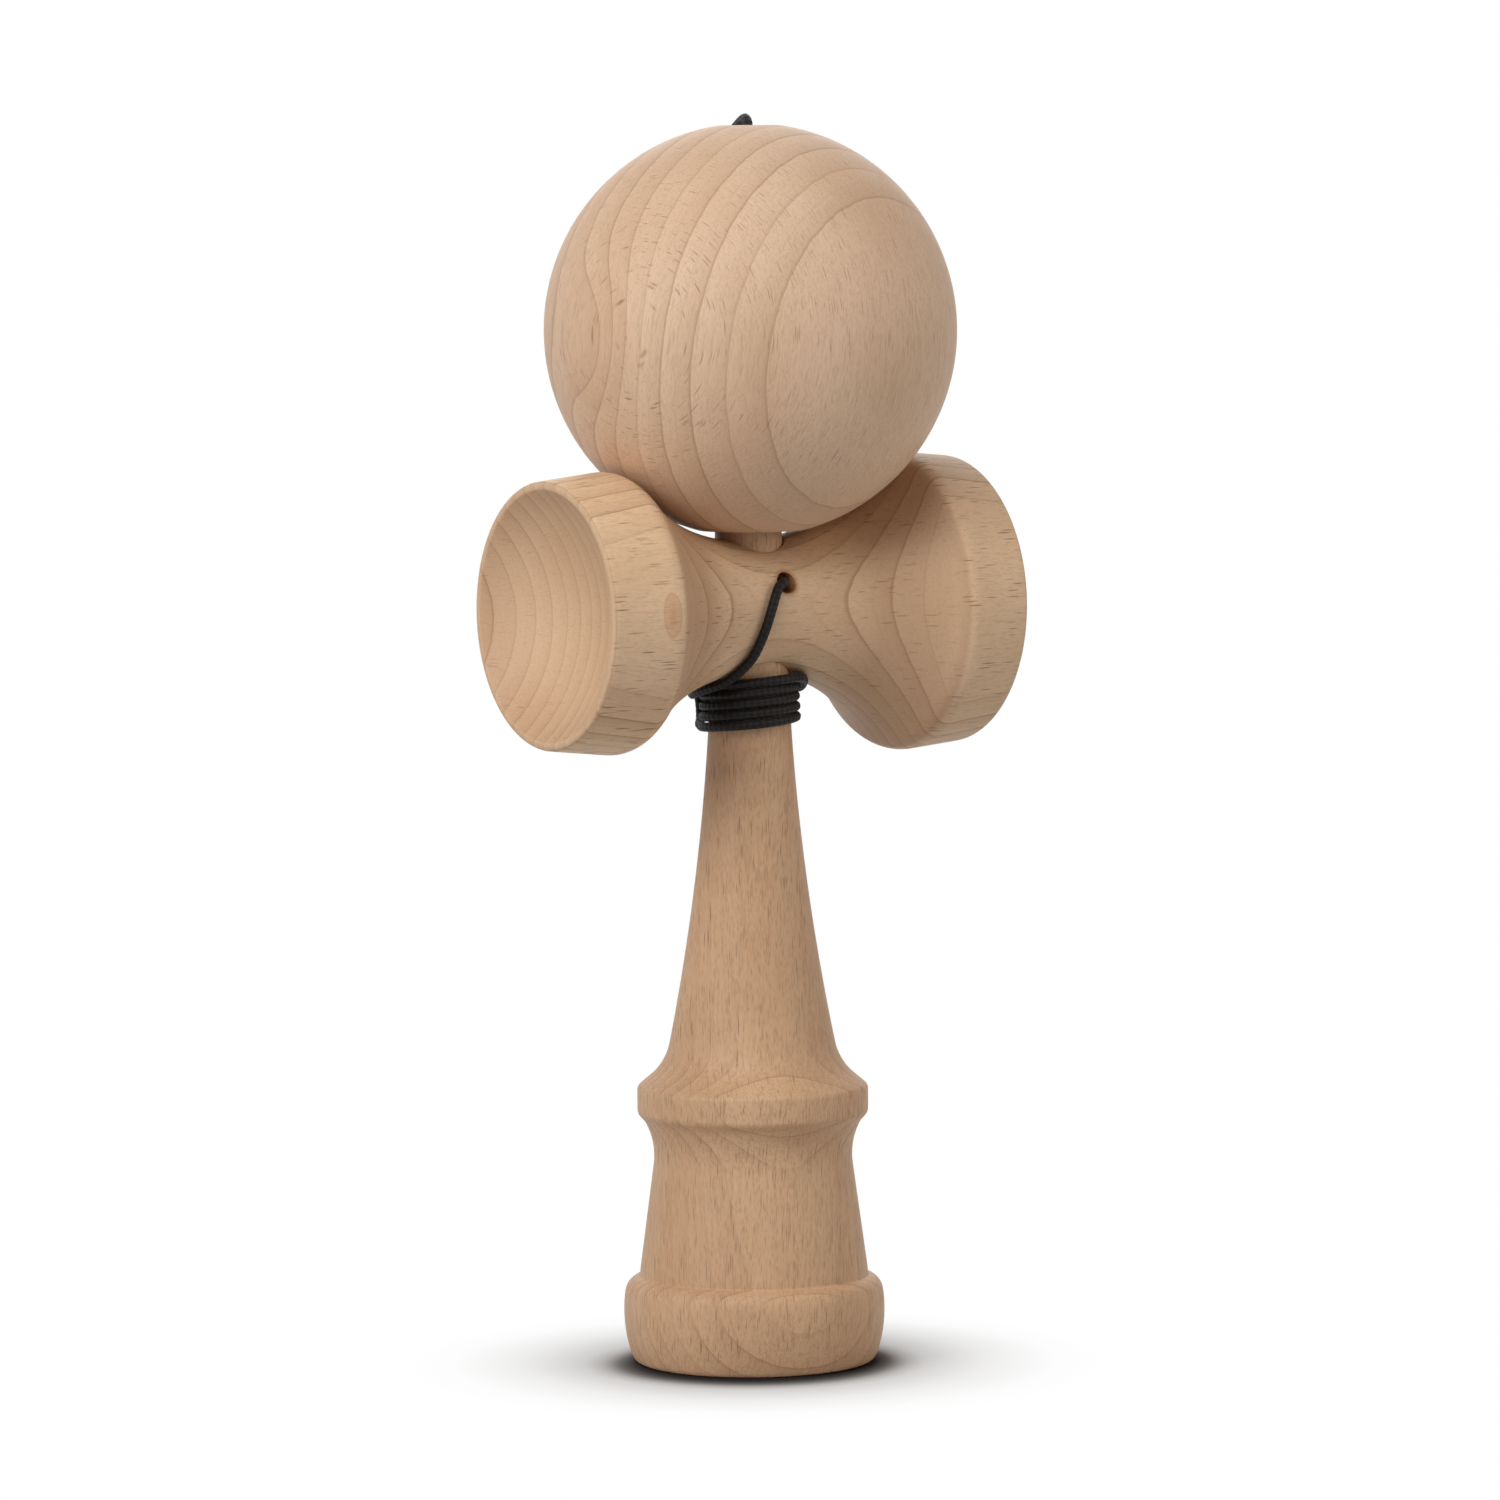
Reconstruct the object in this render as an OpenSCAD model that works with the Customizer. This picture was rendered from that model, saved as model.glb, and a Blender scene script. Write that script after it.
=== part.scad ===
// Cup and ball toy: a turned handle with a spike, a cross piece with a cup at each
// end wedged on its neck, and a drilled ball that sits over the spike. A cord runs
// from a knot in the neck, is wound under the cross piece, and goes up behind to a
// bead and knot inside the ball. Millimetres. The foot's centre is the origin, +Z is
// up the handle, the cups lie along X with the big one at +X, the cord's hole is at -Y.

/* [Ball] */
// Diameter of the ball
ball_d = 60; // [54:0.5:70]
// Diameter of the ball's hole just inside its bevelled mouth
hole_d = 14; // [13.2:0.2:18]
// Width of the bevel round the hole's mouth
mouth_bevel = 0.6; // [0.4:0.1:1.6]
// How far the ball sits forward of the spike's axis in the play of its hole
ball_forward = 1; // [0:0.1:1.6]

/* [Handle] */
// Height of the spike's tip over the foot
ken_length = 155; // [146:0.5:160]
// Largest diameter of the base
base_d = 38.2; // [34:0.2:44]
// Depth of the cup in the underside of the base
base_cup_depth = 5.6; // [3:0.2:8]
// Diameter of the narrowest place between the base and the ring
waist_d = 29; // [24:0.2:32]
// Diameter of the ring round the handle
ring_d = 33.8; // [31:0.2:40]
// Height of the ring's middle over the foot
ring_z = 38.6; // [34:0.2:46]
// Diameter of the grip where it rises from the ring
grip_foot_d = 24.2; // [20:0.2:27]
// Diameter of the grip at its top, under the winding
grip_top_d = 12.2; // [11:0.1:14]
// Diameter of the spike below its rounded tip
spike_d = 7.2; // [5:0.2:9]

/* [Cross piece] */
// Length of the cross piece, rim to rim
cross_length = 69.8; // [64:0.2:80]
// Height of the cross piece's axis over the foot
cross_z = 110.6; // [104:0.2:116]
// Diameter of the cross piece at its waist
cross_waist_d = 19.4; // [18:0.2:21]
// Largest diameter of the big cup
big_cup_d = 44; // [40:0.2:48]
// Largest diameter of the small cup
small_cup_d = 40.8; // [37:0.2:44]
// Depth of the big cup's hollow
big_cup_depth = 9.8; // [6:0.2:13]
// Depth of the small cup's hollow
small_cup_depth = 8; // [5:0.2:12]
// Width of both cups' rims between the hollow and the rounded edge
lip_w = 0.5; // [0.2:0.1:2]

/* [Cord] */
// Thickness of the cord
cord_d = 1.4; // [1:0.05:2]
// Gap left between the wound turns, taken off the wound cord's thickness
turn_gap = 0.45; // [0.42:0.01:0.6]
// Turns of cord round the neck
turns = 4.75; // [2.75:1:5.75]
// How far the winding tilts, up on the right and down on the left
wind_tilt = 0.35; // [0:0.05:0.5]
// Diameter of the bead inside the ball
bead_d = 8.4; // [6:0.2:10]
// Height of the bead
bead_h = 6; // [4:0.2:8]
// Diameter of the knot under the bead and of the knot in the neck
knot_d = 3.9; // [3.2:0.1:5]

/* [Fits] */
// Gap left all round the neck in the cross piece's tapered bore
wedge_gap = 0.05; // [0.02:0.01:0.1]
// Gap left between the ball and the cups that it rests on
rest_gap = 0.3; // [0.2:0.05:0.8]
// Gap left between the ball and the bead and cord that it turns on
swivel_gap = 0.35; // [0.3:0.05:0.8]
// Gap left between the spike's tip and the knot over it
tip_gap = 0.8; // [0.4:0.1:3]
// Gap left round the bead in the blind end of the ball's hole
bead_gap = 1.4; // [0.6:0.1:2]
// Gap left round the cord in the holes of the neck and the bead
bore_gap = 0.4; // [0.3:0.05:0.6]
// Gap left round the cord in the holes of the ball and the cross piece
hole_gap = 0.8; // [0.5:0.05:1.2]

/* [Hidden] */
$fn = 60;

beech = [0.84, 0.70, 0.55];
beech_pale = [0.88, 0.75, 0.60];
beech_warm = [0.80, 0.65, 0.50];
black = [0.06, 0.06, 0.07];

ball_r = ball_d / 2;
base_r = base_d / 2;
ring_r = ring_d / 2;
waist_r = waist_d / 2;
cord_r = cord_d / 2;

// Flank of the base: a small foot edge, a wide arc about a point near the axis, then a
// round shoulder and a step in to the waist
foot_edge_r = 1.4;
foot_inset = 2.5;
flank_r = 20.3;
flank_z = 7.6;
flank_deg = 17.5;
shoulder_r = 2.6;
shoulder_deg = 8;
step_in = 2.4;
step_up = 0.7;
shoulder_c = [base_r - flank_r + (flank_r - shoulder_r) * cos(shoulder_deg),
    flank_z + (flank_r - shoulder_r) * sin(shoulder_deg)];
rim_inset = 3.7;
base_rim_r = base_r - rim_inset;
base_bowl_r = bowl_r(base_rim_r, base_cup_depth);

// Flare under the ring, slope over it and the hollow of the grip
ring_half_h = 1.5;
ring_low_r = 1.2;
ring_high_r = 0.9;
ring_edge_deg = 50;
flare_r = 10.3;
flare_z = ring_z - 8.2;
flare_degs = [188, 150];
grip_z = ring_z + 8.4;
neck_drop = 18.1;
grip_top_z = cross_z - neck_drop;
grip_hollow = 0.475;
sweep_r = 8.5;
sweep_deg = 11;
sweep_degs = [230, 196];
sweep_c = [grip_foot_d / 2 + sweep_r * cos(sweep_deg), grip_z + sweep_r * sin(sweep_deg)];

function grip_r(z) =
    let (u = (grip_top_z - z) / (grip_top_z - grip_z))
    grip_top_d / 2 + (grip_foot_d - grip_top_d) / 2 * (grip_hollow * u + (1 - grip_hollow) * u * u);

// Neck and spike: one straight taper from the top of the grip to the rounded tip
tip_z = ken_length - spike_d / 2;
function neck_r(z) =
    grip_top_d / 2 - (grip_top_d - spike_d) / 2 * (z - grip_top_z) / (tip_z - grip_top_z);
function handle_r(z) = z < grip_top_z ? grip_r(z) : neck_r(z);

// Points of a circular arc from angle a to angle b
function arc(c, r, a, b, n) =
    [for (i = [0:n]) let (t = a + (b - a) * i / n) [c[0] + r * cos(t), c[1] + r * sin(t)]];

// One half of the cross piece's outline as [distance from the waist, radius]: hollowed to
// the ball's own curve, then a round shoulder, a slope to the rim and the rim's edge
rim_x = cross_length / 2;
lip_r = 0.6;
hollow_r = ball_r + rest_gap;
function half_outline(cup_r, round_r, lean, reach) =
    let (
        w = cross_waist_d / 2,
        deg = acos(1 - (cup_r - w) / (hollow_r + round_r)),
        c = [(hollow_r + round_r) * sin(deg), cup_r - round_r],
        edge = c + round_r * [sin(lean), cos(lean)],
        lip = [reach - lip_r, edge[1] - (reach - lip_r - edge[0]) * tan(lean) - lip_r]
    )
    concat(
        arc([0, w + hollow_r], hollow_r, -90, deg - 90, 10),
        arc(c, round_r, 90 + deg, 90 - lean, 8),
        arc(lip, lip_r, 90 - lean, 0, 3)
    );
waist_x = -0.25;
big_round_r = 3.4;
big_lean_deg = 5.4;
big_half = [for (p = half_outline(big_cup_d / 2, big_round_r, big_lean_deg, rim_x - waist_x))
    [waist_x + p[0], p[1]]];
small_round_r = 3.2;
small_lean_deg = 6.2;
small_half = [for (p = half_outline(small_cup_d / 2, small_round_r, small_lean_deg, rim_x + waist_x))
    [waist_x - p[0], p[1]]];
big_rim_r = big_half[len(big_half) - 1][1] - lip_w;
small_rim_r = small_half[len(small_half) - 1][1] - lip_w;
function bowl_r(rim, depth) = (rim * rim + depth * depth) / (2 * depth);

// The ball rests in the hollow: as low as every point of the outline allows it
rest_r = max([for (p = concat(big_half, small_half))
    if (abs(p[0]) < ball_r - 2) p[1] + sqrt(pow(ball_r + rest_gap, 2) - p[0] * p[0])]);
tama_y = -ball_forward;
tama_z = cross_z + sqrt(rest_r * rest_r - tama_y * tama_y);

// Over the spike's tip: the knot, the bead on it and the blind end of the ball's hole
knot_r = knot_d / 2;
knot_h = 0.7 * knot_d;
bead_z = ken_length + tip_gap + knot_h;
hole_top = bead_z + bead_h + swivel_gap - tama_z;
hole_end_r = bead_d / 2 + bead_gap;
string_r = cord_r + hole_gap;
sink_r = string_r + 2.6;
sink_depth = 1.4;
sink_z = sqrt(ball_r * ball_r - sink_r * sink_r);
mouth_r = hole_d / 2 + mouth_bevel;
mouth_z = -sqrt(ball_r * ball_r - mouth_r * mouth_r);

// The cord's hole through the cross piece and the neck, with the knot's pocket behind
string_x = 0.8;
string_z = cross_z + 3.9;
pocket_y = 1.6;
pocket_r = knot_r + bore_gap;
through = 14;

// The winding: a flat helix, clockwise from above, from the back to the left side
right_deg = -33;
start_deg = 61;
turn_slack = 0.1;
pitch = cord_d + turn_slack;
wound_d = cord_d - turn_gap;
wind_z = cross_z - 9.9;
lay_gap = 0.08;
steps = 24;
// Where the cross piece's belly hangs low, the first turn rides out over the second one
// and dips under the belly: two bell curves over the angle
belly_deg = 2;
ride_out = 1.6;
ride_width = 70;
belly_dip = 2.2;
dip_width = 30;
function bell(a, width) = exp(-pow((a - belly_deg) / width, 2));
function wind_point(i) =
    let (
        a = start_deg - 360 / steps * i,
        z = wind_z - pitch * i / steps + wind_tilt * cos(a - right_deg) - belly_dip * bell(a, dip_width),
        r = handle_r(z) + cord_r + lay_gap + ride_out * bell(a, ride_width)
    )
    [r * cos(a), r * sin(a), z];
loops = [for (i = [0:steps * turns]) wind_point(i)];
last = len(loops) - 1;
start_way = unit(loops[1] - loops[0]);
end_way = unit(loops[last] - loops[last - 1]);
winding = concat([loops[0] - start_way * wound_d], loops, [loops[last] + end_way * wound_d]);
wind_start = winding[0];
wind_end = winding[len(winding) - 1];
half = steps / 2;
least_gap = min([for (i = [0:last - half]) for (j = [i + half:last]) norm(loops[i] - loops[j])]) - wound_d;
echo(least_gap_of_winding = least_gap);

// The run over the cross piece's front: out of its hole, down to the left, round behind
front_points = [
    [string_x, pocket_y, string_z],
    [string_x, -3, string_z],
    [string_x, -7.2, string_z],
    [0.3, -9.1, cross_z + 4],
    [-0.6, -9.8, cross_z + 3.9],
    [-1.5, -10.1, cross_z + 3.1],
    [-2.7, -10.6, cross_z + 0.8],
    [-3.6, -10.55, cross_z - 1.8],
    [-4.3, -9.8, cross_z - 4.4],
    [-5, -8.5, cross_z - 6.9],
    [-6.2, -6.5, cross_z - 9.1],
    [-7.3, -4.2, cross_z - 10.6],
    [-8.2, -1.4, cross_z - 11.5],
    [-8.25, 1.5, cross_z - 12.2],
    [-7, 4.5, cross_z - 12.6],
    [-4.5, 7.2, cross_z - 11.9],
    [-0.8, 8.5, cross_z - 10.7]
];
front_run = concat(spline(concat(front_points, [wind_start - 2 * start_way]), 2), [wind_start]);

// The run up behind: off the winding, straight to the ball and on to it at a tangent
back_deg = 93;
top_deg = 66;
crown_deg = 80;
lie_r = ball_r + swivel_gap + cord_r;
leave = [8.6, wind_end[2] + 1.2];
leave_from = [leave[0] - tama_y, tama_z - leave[1]];
run_lean = asin(lie_r / norm(leave_from)) - atan2(leave_from[0], leave_from[1]);
function behind(deg, out, z) = [out * cos(deg), tama_y + out * sin(deg), z];
function round_deg(a) = back_deg + (top_deg - back_deg) * max(0, (a + run_lean) / (crown_deg + run_lean));
function on_ball(a) = behind(round_deg(a), lie_r * cos(a), tama_z + lie_r * sin(a));
touch = on_ball(-run_lean);
touch_way = unit(on_ball(1 - run_lean) - on_ball(-1 - run_lean));
off_point = [-3, leave[0], leave[1]];
back_points = [
    wind_end + end_way * 1.5,
    wind_end + end_way * 3 + [0, 0.2, 0.3],
    off_point,
    off_point + (touch - off_point) * 0.08 + [0.4, 0, 0],
    off_point + (touch - off_point) * 0.3,
    off_point + (touch - off_point) * 0.6,
    touch - touch_way * 4
];
back_run = concat([wind_end], spline(back_points, 2), [touch]);

// The run over the ball's back, in at its top hole and down through the bead to the knot
top_z = tama_z + ball_r;
top_points = [
    on_ball(crown_deg),
    behind(top_deg, 3.4, top_z + 0.7),
    behind(top_deg, 1.6, top_z + 0.3),
    behind(top_deg, 0.5, top_z - 0.8),
    behind(top_deg, 0.1, top_z - 2.2),
    [0, tama_y, top_z - 4]
];
tama_run = concat(
    [touch, touch + touch_way * 1.5],
    [for (i = [1:17]) on_ball(-run_lean + (crown_deg + run_lean) * i / 18)],
    spline(top_points, 2),
    [for (k = [1:3]) [0, tama_y, top_z - 4 - (top_z - 4 - bead_z) * k / 3]]
);

function unit(v) = v / norm(v);

// A smooth curve through hand-placed points, n steps between each two
function spline(p, n) = concat(
    [for (i = [0:len(p) - 2]) for (k = [0:n - 1])
        let (
            t = k / n,
            a = i == 0 ? 2 * p[0] - p[1] : p[i - 1],
            b = p[i],
            c = p[i + 1],
            d = i + 2 < len(p) ? p[i + 2] : 2 * c - b
        )
        b + t * (c - a) / 2 + t * t * (a - 2.5 * b + 2 * c - d / 2)
            + t * t * t * (3 * b - 3 * c + d - a) / 2],
    [p[len(p) - 1]]
);

function way(p, i) = unit(p[min(i + 1, len(p) - 1)] - p[max(i - 1, 0)]);
function square_to(v, t) = unit(v - t * (v * t));
function first_side(t) = square_to(abs(t[2]) < 0.8 ? [0, 0, 1] : [1, 0, 0], t);

// A round tube along a list of points, with square ends
module tube(p, d, sides) {
    n = len(p);
    side = [for (i = 0, u = first_side(way(p, 0)); i < n;
        u = i + 1 < n ? square_to(u, way(p, i + 1)) : u, i = i + 1) u];
    points = [for (i = [0:n - 1]) for (k = [0:sides - 1])
        let (t = way(p, i), u = side[i], v = cross(t, u), a = 360 * k / sides)
        p[i] + d / 2 * (u * cos(a) + v * sin(a))];
    walls = [for (i = [0:n - 2]) for (k = [0:sides - 1])
        let (a = i * sides + k, b = i * sides + (k + 1) % sides)
        each [[a, a + sides, b], [b, a + sides, b + sides]]];
    first_cap = [[for (k = [0:sides - 1]) k]];
    last_cap = [[for (k = [sides - 1:-1:0]) (n - 1) * sides + k]];
    polyhedron(points, concat(walls, first_cap, last_cap), convexity = 10);
}

// A knot as a lump with one flat face, which lies in the plane z = 0, body below it
module lump(r, h) {
    rotate_extrude($fn = 32)
        polygon(concat([[0, 0], [r * 0.8, 0]], arc([r - h / 2, -h / 2], h / 2, 50, -90, 6), [[0, -h]]));
}

// Turned handle: base with a cup below, ring, hollow grip, neck and spike in one piece
module ken() {
    color(beech)
    difference() {
        rotate_extrude()
            polygon(concat(
                arc([0, base_cup_depth - base_bowl_r], base_bowl_r, 90, acos(base_rim_r / base_bowl_r), 8),
                arc([base_r - foot_inset, foot_edge_r], foot_edge_r, -90, -flank_deg - 2.5, 4),
                arc([base_r - flank_r, flank_z], flank_r, -flank_deg, shoulder_deg, 5),
                arc(shoulder_c, shoulder_r, 2 * shoulder_deg, 90 - shoulder_deg, 5),
                [[base_r - step_in, shoulder_c[1] + shoulder_r + step_up]],
                arc([waist_r + flare_r, flare_z], flare_r, flare_degs[0], flare_degs[1], 6),
                arc([ring_r - ring_low_r, ring_z - ring_half_h], ring_low_r, -ring_edge_deg, 0, 3),
                arc([ring_r - ring_high_r, ring_z + ring_half_h], ring_high_r, 0, ring_edge_deg, 3),
                arc(sweep_c, sweep_r, sweep_degs[0], sweep_degs[1], 5),
                [for (i = [0:11]) let (z = grip_z + (grip_top_z - grip_z) * i / 11) [grip_r(z), z]],
                arc([0, tip_z], spike_d / 2, 0, 90, 6)
            ));
        // the cord's hole across the neck
        translate([string_x, pocket_y + 0.5, string_z])
            rotate([90, 0, 0])
                cylinder(r = cord_r + bore_gap, h = through, $fn = 32);
        // the knot's pocket, open to the back
        translate([string_x, pocket_y, string_z])
            rotate([-90, 0, 0])
                cylinder(r = pocket_r, h = through, $fn = 32);
    }
}

// Cross piece: two cups on one turned body, with the tapered bore for the neck
module sarado() {
    color(beech_warm)
    difference() {
        translate([0, 0, cross_z])
            rotate([0, 90, 0])
                rotate_extrude()
                    polygon(concat(
                        [[0, rim_x]],
                        [for (i = [len(big_half) - 1:-1:0]) [big_half[i][1], big_half[i][0]]],
                        [for (p = small_half) [p[1], p[0]]],
                        [[0, -rim_x]]
                    ));
        // the big cup's hollow
        translate([rim_x - big_cup_depth + bowl_r(big_rim_r, big_cup_depth), 0, cross_z])
            sphere(r = bowl_r(big_rim_r, big_cup_depth));
        // the small cup's hollow
        translate([small_cup_depth - rim_x - bowl_r(small_rim_r, small_cup_depth), 0, cross_z])
            sphere(r = bowl_r(small_rim_r, small_cup_depth));
        // the tapered bore
        translate([0, 0, cross_z - through])
            cylinder(r1 = neck_r(cross_z - through) + wedge_gap, r2 = neck_r(cross_z + through) + wedge_gap,
                h = 2 * through);
        // the cord's hole, from the bore out of the front
        translate([string_x, 0, string_z])
            rotate([90, 0, 0])
                cylinder(r = string_r, h = through, $fn = 32);
    }
}

// Ball with a bevelled blind hole for the spike and a small cord hole at the top
module tama() {
    color(beech_pale)
    translate([0, tama_y, tama_z])
    difference() {
        sphere(r = ball_r, $fn = 80);
        rotate_extrude()
            polygon([
                [0, -ball_r - 2],
                [mouth_r + (mouth_z + ball_r + 2), -ball_r - 2],
                [mouth_r - mouth_bevel, mouth_z + mouth_bevel],
                [hole_end_r, hole_top],
                [string_r, hole_top],
                [string_r, sink_z - sink_depth],
                [sink_r, sink_z],
                [sink_r, ball_r + 2],
                [0, ball_r + 2]
            ]);
    }
}

// Bead that the ball hangs and turns on
module tama_bead() {
    color(beech)
    translate([0, tama_y, bead_z])
        rotate_extrude($fn = 40)
            polygon(concat(
                [[cord_r + bore_gap, 0]],
                [for (i = [0:10]) let (a = -55 + 11 * i)
                    [bead_d / 2 * (0.32 + 0.68 * cos(a)), bead_h / 2 * (1 + sin(a) / sin(55))]],
                [[cord_r + bore_gap, bead_h]]
            ));
}

// Knot that holds the bead on the cord
module tama_knot() {
    color(black)
    translate([0, tama_y, bead_z])
        lump(knot_r, knot_h);
}

// Cord over the ball's back and down inside to the knot
module cord_tama_run() {
    color(black)
    tube(tama_run, cord_d, 8);
}

// Cord from the winding up behind the cross piece to the ball
module cord_back_run() {
    color(black)
    tube(back_run, cord_d, 8);
}

// Cord wound round the neck, one unbroken tube
module cord_winding() {
    color(black)
    tube(winding, wound_d, 6);
}

// Cord from the knot, out of the cross piece's front and round to the winding
module cord_front_run() {
    color(black)
    tube(front_run, cord_d, 8);
}

// Knot in the neck's pocket that anchors the cord and locks the cross piece
module sarado_knot() {
    color(black)
    translate([string_x, pocket_y, string_z])
        rotate([90, 0, 0])
            lump(knot_r, knot_h);
}

ken();
sarado();
tama();
tama_bead();
tama_knot();
cord_tama_run();
cord_back_run();
cord_winding();
cord_front_run();
sarado_knot();
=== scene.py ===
"""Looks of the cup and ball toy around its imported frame.

Metres throughout. The foot's centre is the origin, +Z runs up the handle, the cups lie
along X with the big one at +X, and the cord's hole is at the front, -Y.
"""

import logging
from dataclasses import dataclass, field
from enum import Enum
from typing import Any, Sequence

import bmesh
import bpy
import numpy as np
from mathutils import Matrix, Vector


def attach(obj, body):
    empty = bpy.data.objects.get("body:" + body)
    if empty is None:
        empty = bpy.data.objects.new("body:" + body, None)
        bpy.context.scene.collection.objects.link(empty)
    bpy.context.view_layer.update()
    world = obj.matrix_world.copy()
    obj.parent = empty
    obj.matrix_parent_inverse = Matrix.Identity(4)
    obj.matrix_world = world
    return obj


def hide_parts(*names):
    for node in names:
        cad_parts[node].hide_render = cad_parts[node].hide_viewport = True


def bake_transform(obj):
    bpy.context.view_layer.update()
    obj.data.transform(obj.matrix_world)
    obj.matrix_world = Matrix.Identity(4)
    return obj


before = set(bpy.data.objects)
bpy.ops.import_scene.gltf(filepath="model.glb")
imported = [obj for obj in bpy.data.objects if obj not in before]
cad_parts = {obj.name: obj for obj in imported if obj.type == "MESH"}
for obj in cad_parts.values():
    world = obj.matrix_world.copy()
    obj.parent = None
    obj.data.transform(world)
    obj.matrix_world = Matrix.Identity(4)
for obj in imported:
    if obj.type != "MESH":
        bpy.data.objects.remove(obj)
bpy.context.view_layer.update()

log = logging.getLogger("cup_and_ball")

MM = 0.001
PER_MM = 1000.0
IMAGE_PX = 1500
WHITE = (1.0, 1.0, 1.0, 1.0)
MERGE_DISTANCE = 1e-7
CREASE_DEG = 50.0
FEWEST_STEPS = 8
BELL_SPAN = 4

Triple = tuple[float, float, float]
Values = float | np.ndarray
Socket = bpy.types.NodeSocket


class Body(Enum):
    """The bodies that pieces ride on."""

    HANDLE = "ken"
    BEAD = "bead"
    BALL = "tama"


class Slot(Enum):
    """The record's material slots."""

    HANDLE = "handle_wood"
    CROSS = "cross_wood"
    BALL = "ball_wood"
    BEAD = "bead_wood"
    CORD = "cord"


class Ends(Enum):
    """How an outline ends: on its axis at both ends, or in itself as a loop."""

    ON_AXIS = "on axis"
    LOOP = "loop"


def arc(centre: Sequence[float], radius: float, start: float, end: float, count: int = 40) -> np.ndarray:
    """Points of a circular arc, centre + radius * (cos t, sin t).

    Args:
        centre: The arc's middle, two numbers.
        radius: Its radius.
        start: The first angle t, in degrees.
        end: The last angle t, in degrees.
        count: How many points.

    Returns:
        An array of count points with two coordinates each.
    """
    t = np.radians(np.linspace(start, end, count))
    return np.asarray(centre) + radius * np.stack([np.cos(t), np.sin(t)], -1)


def spline(points: Sequence[Sequence[float]], steps: int) -> np.ndarray:
    """Smooth curve through points: a cubic between each two, sloped as its neighbours lie.

    Args:
        points: The points that the curve passes through.
        steps: How many curve points lie between each two.

    Returns:
        The curve's points.
    """
    p = np.asarray(points, float)
    q = np.concatenate([[2 * p[0] - p[1]], p, [2 * p[-1] - p[-2]]])
    a, b, c, d = (q[k : k + len(p) - 1, None] for k in range(4))
    t = (np.arange(steps) / steps)[None, :, None]
    curve = b + t * (c - a) / 2 + t**2 * (a - 2.5 * b + 2 * c - d / 2) + t**3 * (3 * b - 3 * c + d - a) / 2
    return np.concatenate([curve.reshape(-1, p.shape[1]), p[-1:]])


def run_length(points: np.ndarray) -> np.ndarray:
    """Running length along a line of points, from 0 at the first."""
    return np.concatenate([[0.0], np.cumsum(np.linalg.norm(np.diff(points, axis=0), axis=1))])


def at_lengths(points: np.ndarray, known: np.ndarray, wanted: np.ndarray) -> np.ndarray:
    """Each coordinate of a line read off at wanted places on its known scale."""
    return np.stack([np.interp(wanted, known, points[:, k]) for k in range(points.shape[1])], -1)


def softened(points: np.ndarray, step: float, reach: float, ends: Ends = Ends.ON_AXIS) -> np.ndarray:
    """A line with its corners rounded: each point becomes a bell-weighted mean along the line.

    Args:
        points: The line.
        step: Distance between the new points.
        reach: Width of the bell, about the radius that a corner gets.
        ends: Whether the line is a loop. If not, its ends stay where they are.

    Returns:
        The rounded line, its points one step apart. A loop's first point isn't repeated.
    """
    loop = ends is Ends.LOOP
    line = np.concatenate([points, points[:1]]) if loop else points
    scale = run_length(line)
    count = max(int(scale[-1] / step), FEWEST_STEPS)
    even = at_lengths(line, scale, np.linspace(0, scale[-1], count + 1))
    width = int(BELL_SPAN * reach / step) + 1
    bell = np.exp(-0.5 * (np.arange(-width, width + 1) * step / reach) ** 2)
    bell /= bell.sum()
    if loop:
        even = even[:-1]
        padded = np.concatenate([even[-width:], even, even[:width]])
    else:
        before = 2 * even[0] - even[width:0:-1]
        after = 2 * even[-1] - even[-2 : -width - 2 : -1]
        padded = np.concatenate([before, even, after])
    return np.stack([np.convolve(padded[:, k], bell, "valid") for k in range(padded.shape[1])], -1)


def thinned(points: np.ndarray, step: float, bend: float, ends: Ends = Ends.ON_AXIS) -> np.ndarray:
    """A smooth line with fewer points: one for each step of length or bend of turning.

    Args:
        points: The dense line.
        step: Length that costs one point.
        bend: Turning, in degrees, that costs one point.
        ends: Whether the line is a loop.

    Returns:
        The thinner line.
    """
    loop = ends is Ends.LOOP
    line = np.concatenate([points, points[:1]]) if loop else points
    way = np.diff(line, axis=0)
    heading = np.unwrap(np.arctan2(way[:, 1], way[:, 0]))
    turn = np.abs(np.degrees(np.diff(heading, append=heading[-1])))
    cost = np.concatenate([[0.0], np.cumsum(np.linalg.norm(way, axis=1) / step + turn / bend)])
    count = int(np.ceil(cost[-1]))
    thin = at_lengths(line, cost, np.linspace(0, cost[-1], count + 1))
    return thin[:-1] if loop else thin


def eased(
    points: np.ndarray,
    reach: float,
    step: float,
    ends: Ends = Ends.ON_AXIS,
    fine: float = 0.05 * MM,
    bend: float = 4.0,
) -> np.ndarray:
    """An outline ready for turning: corners softened, points thinned and open ends put on the axis.

    Args:
        points: Along and radius of the outline's points.
        reach: About the radius that a corner gets.
        step: Length that costs one point.
        ends: How the outline ends.
        fine: Distance between points while the corners are softened.
        bend: Turning, in degrees, that costs one point.

    Returns:
        Along and radius of each ring.
    """
    line = thinned(softened(points, fine, reach, ends), step, bend, ends)
    if ends is Ends.ON_AXIS:
        line[[0, -1], 1] = 0
    return line


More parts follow.
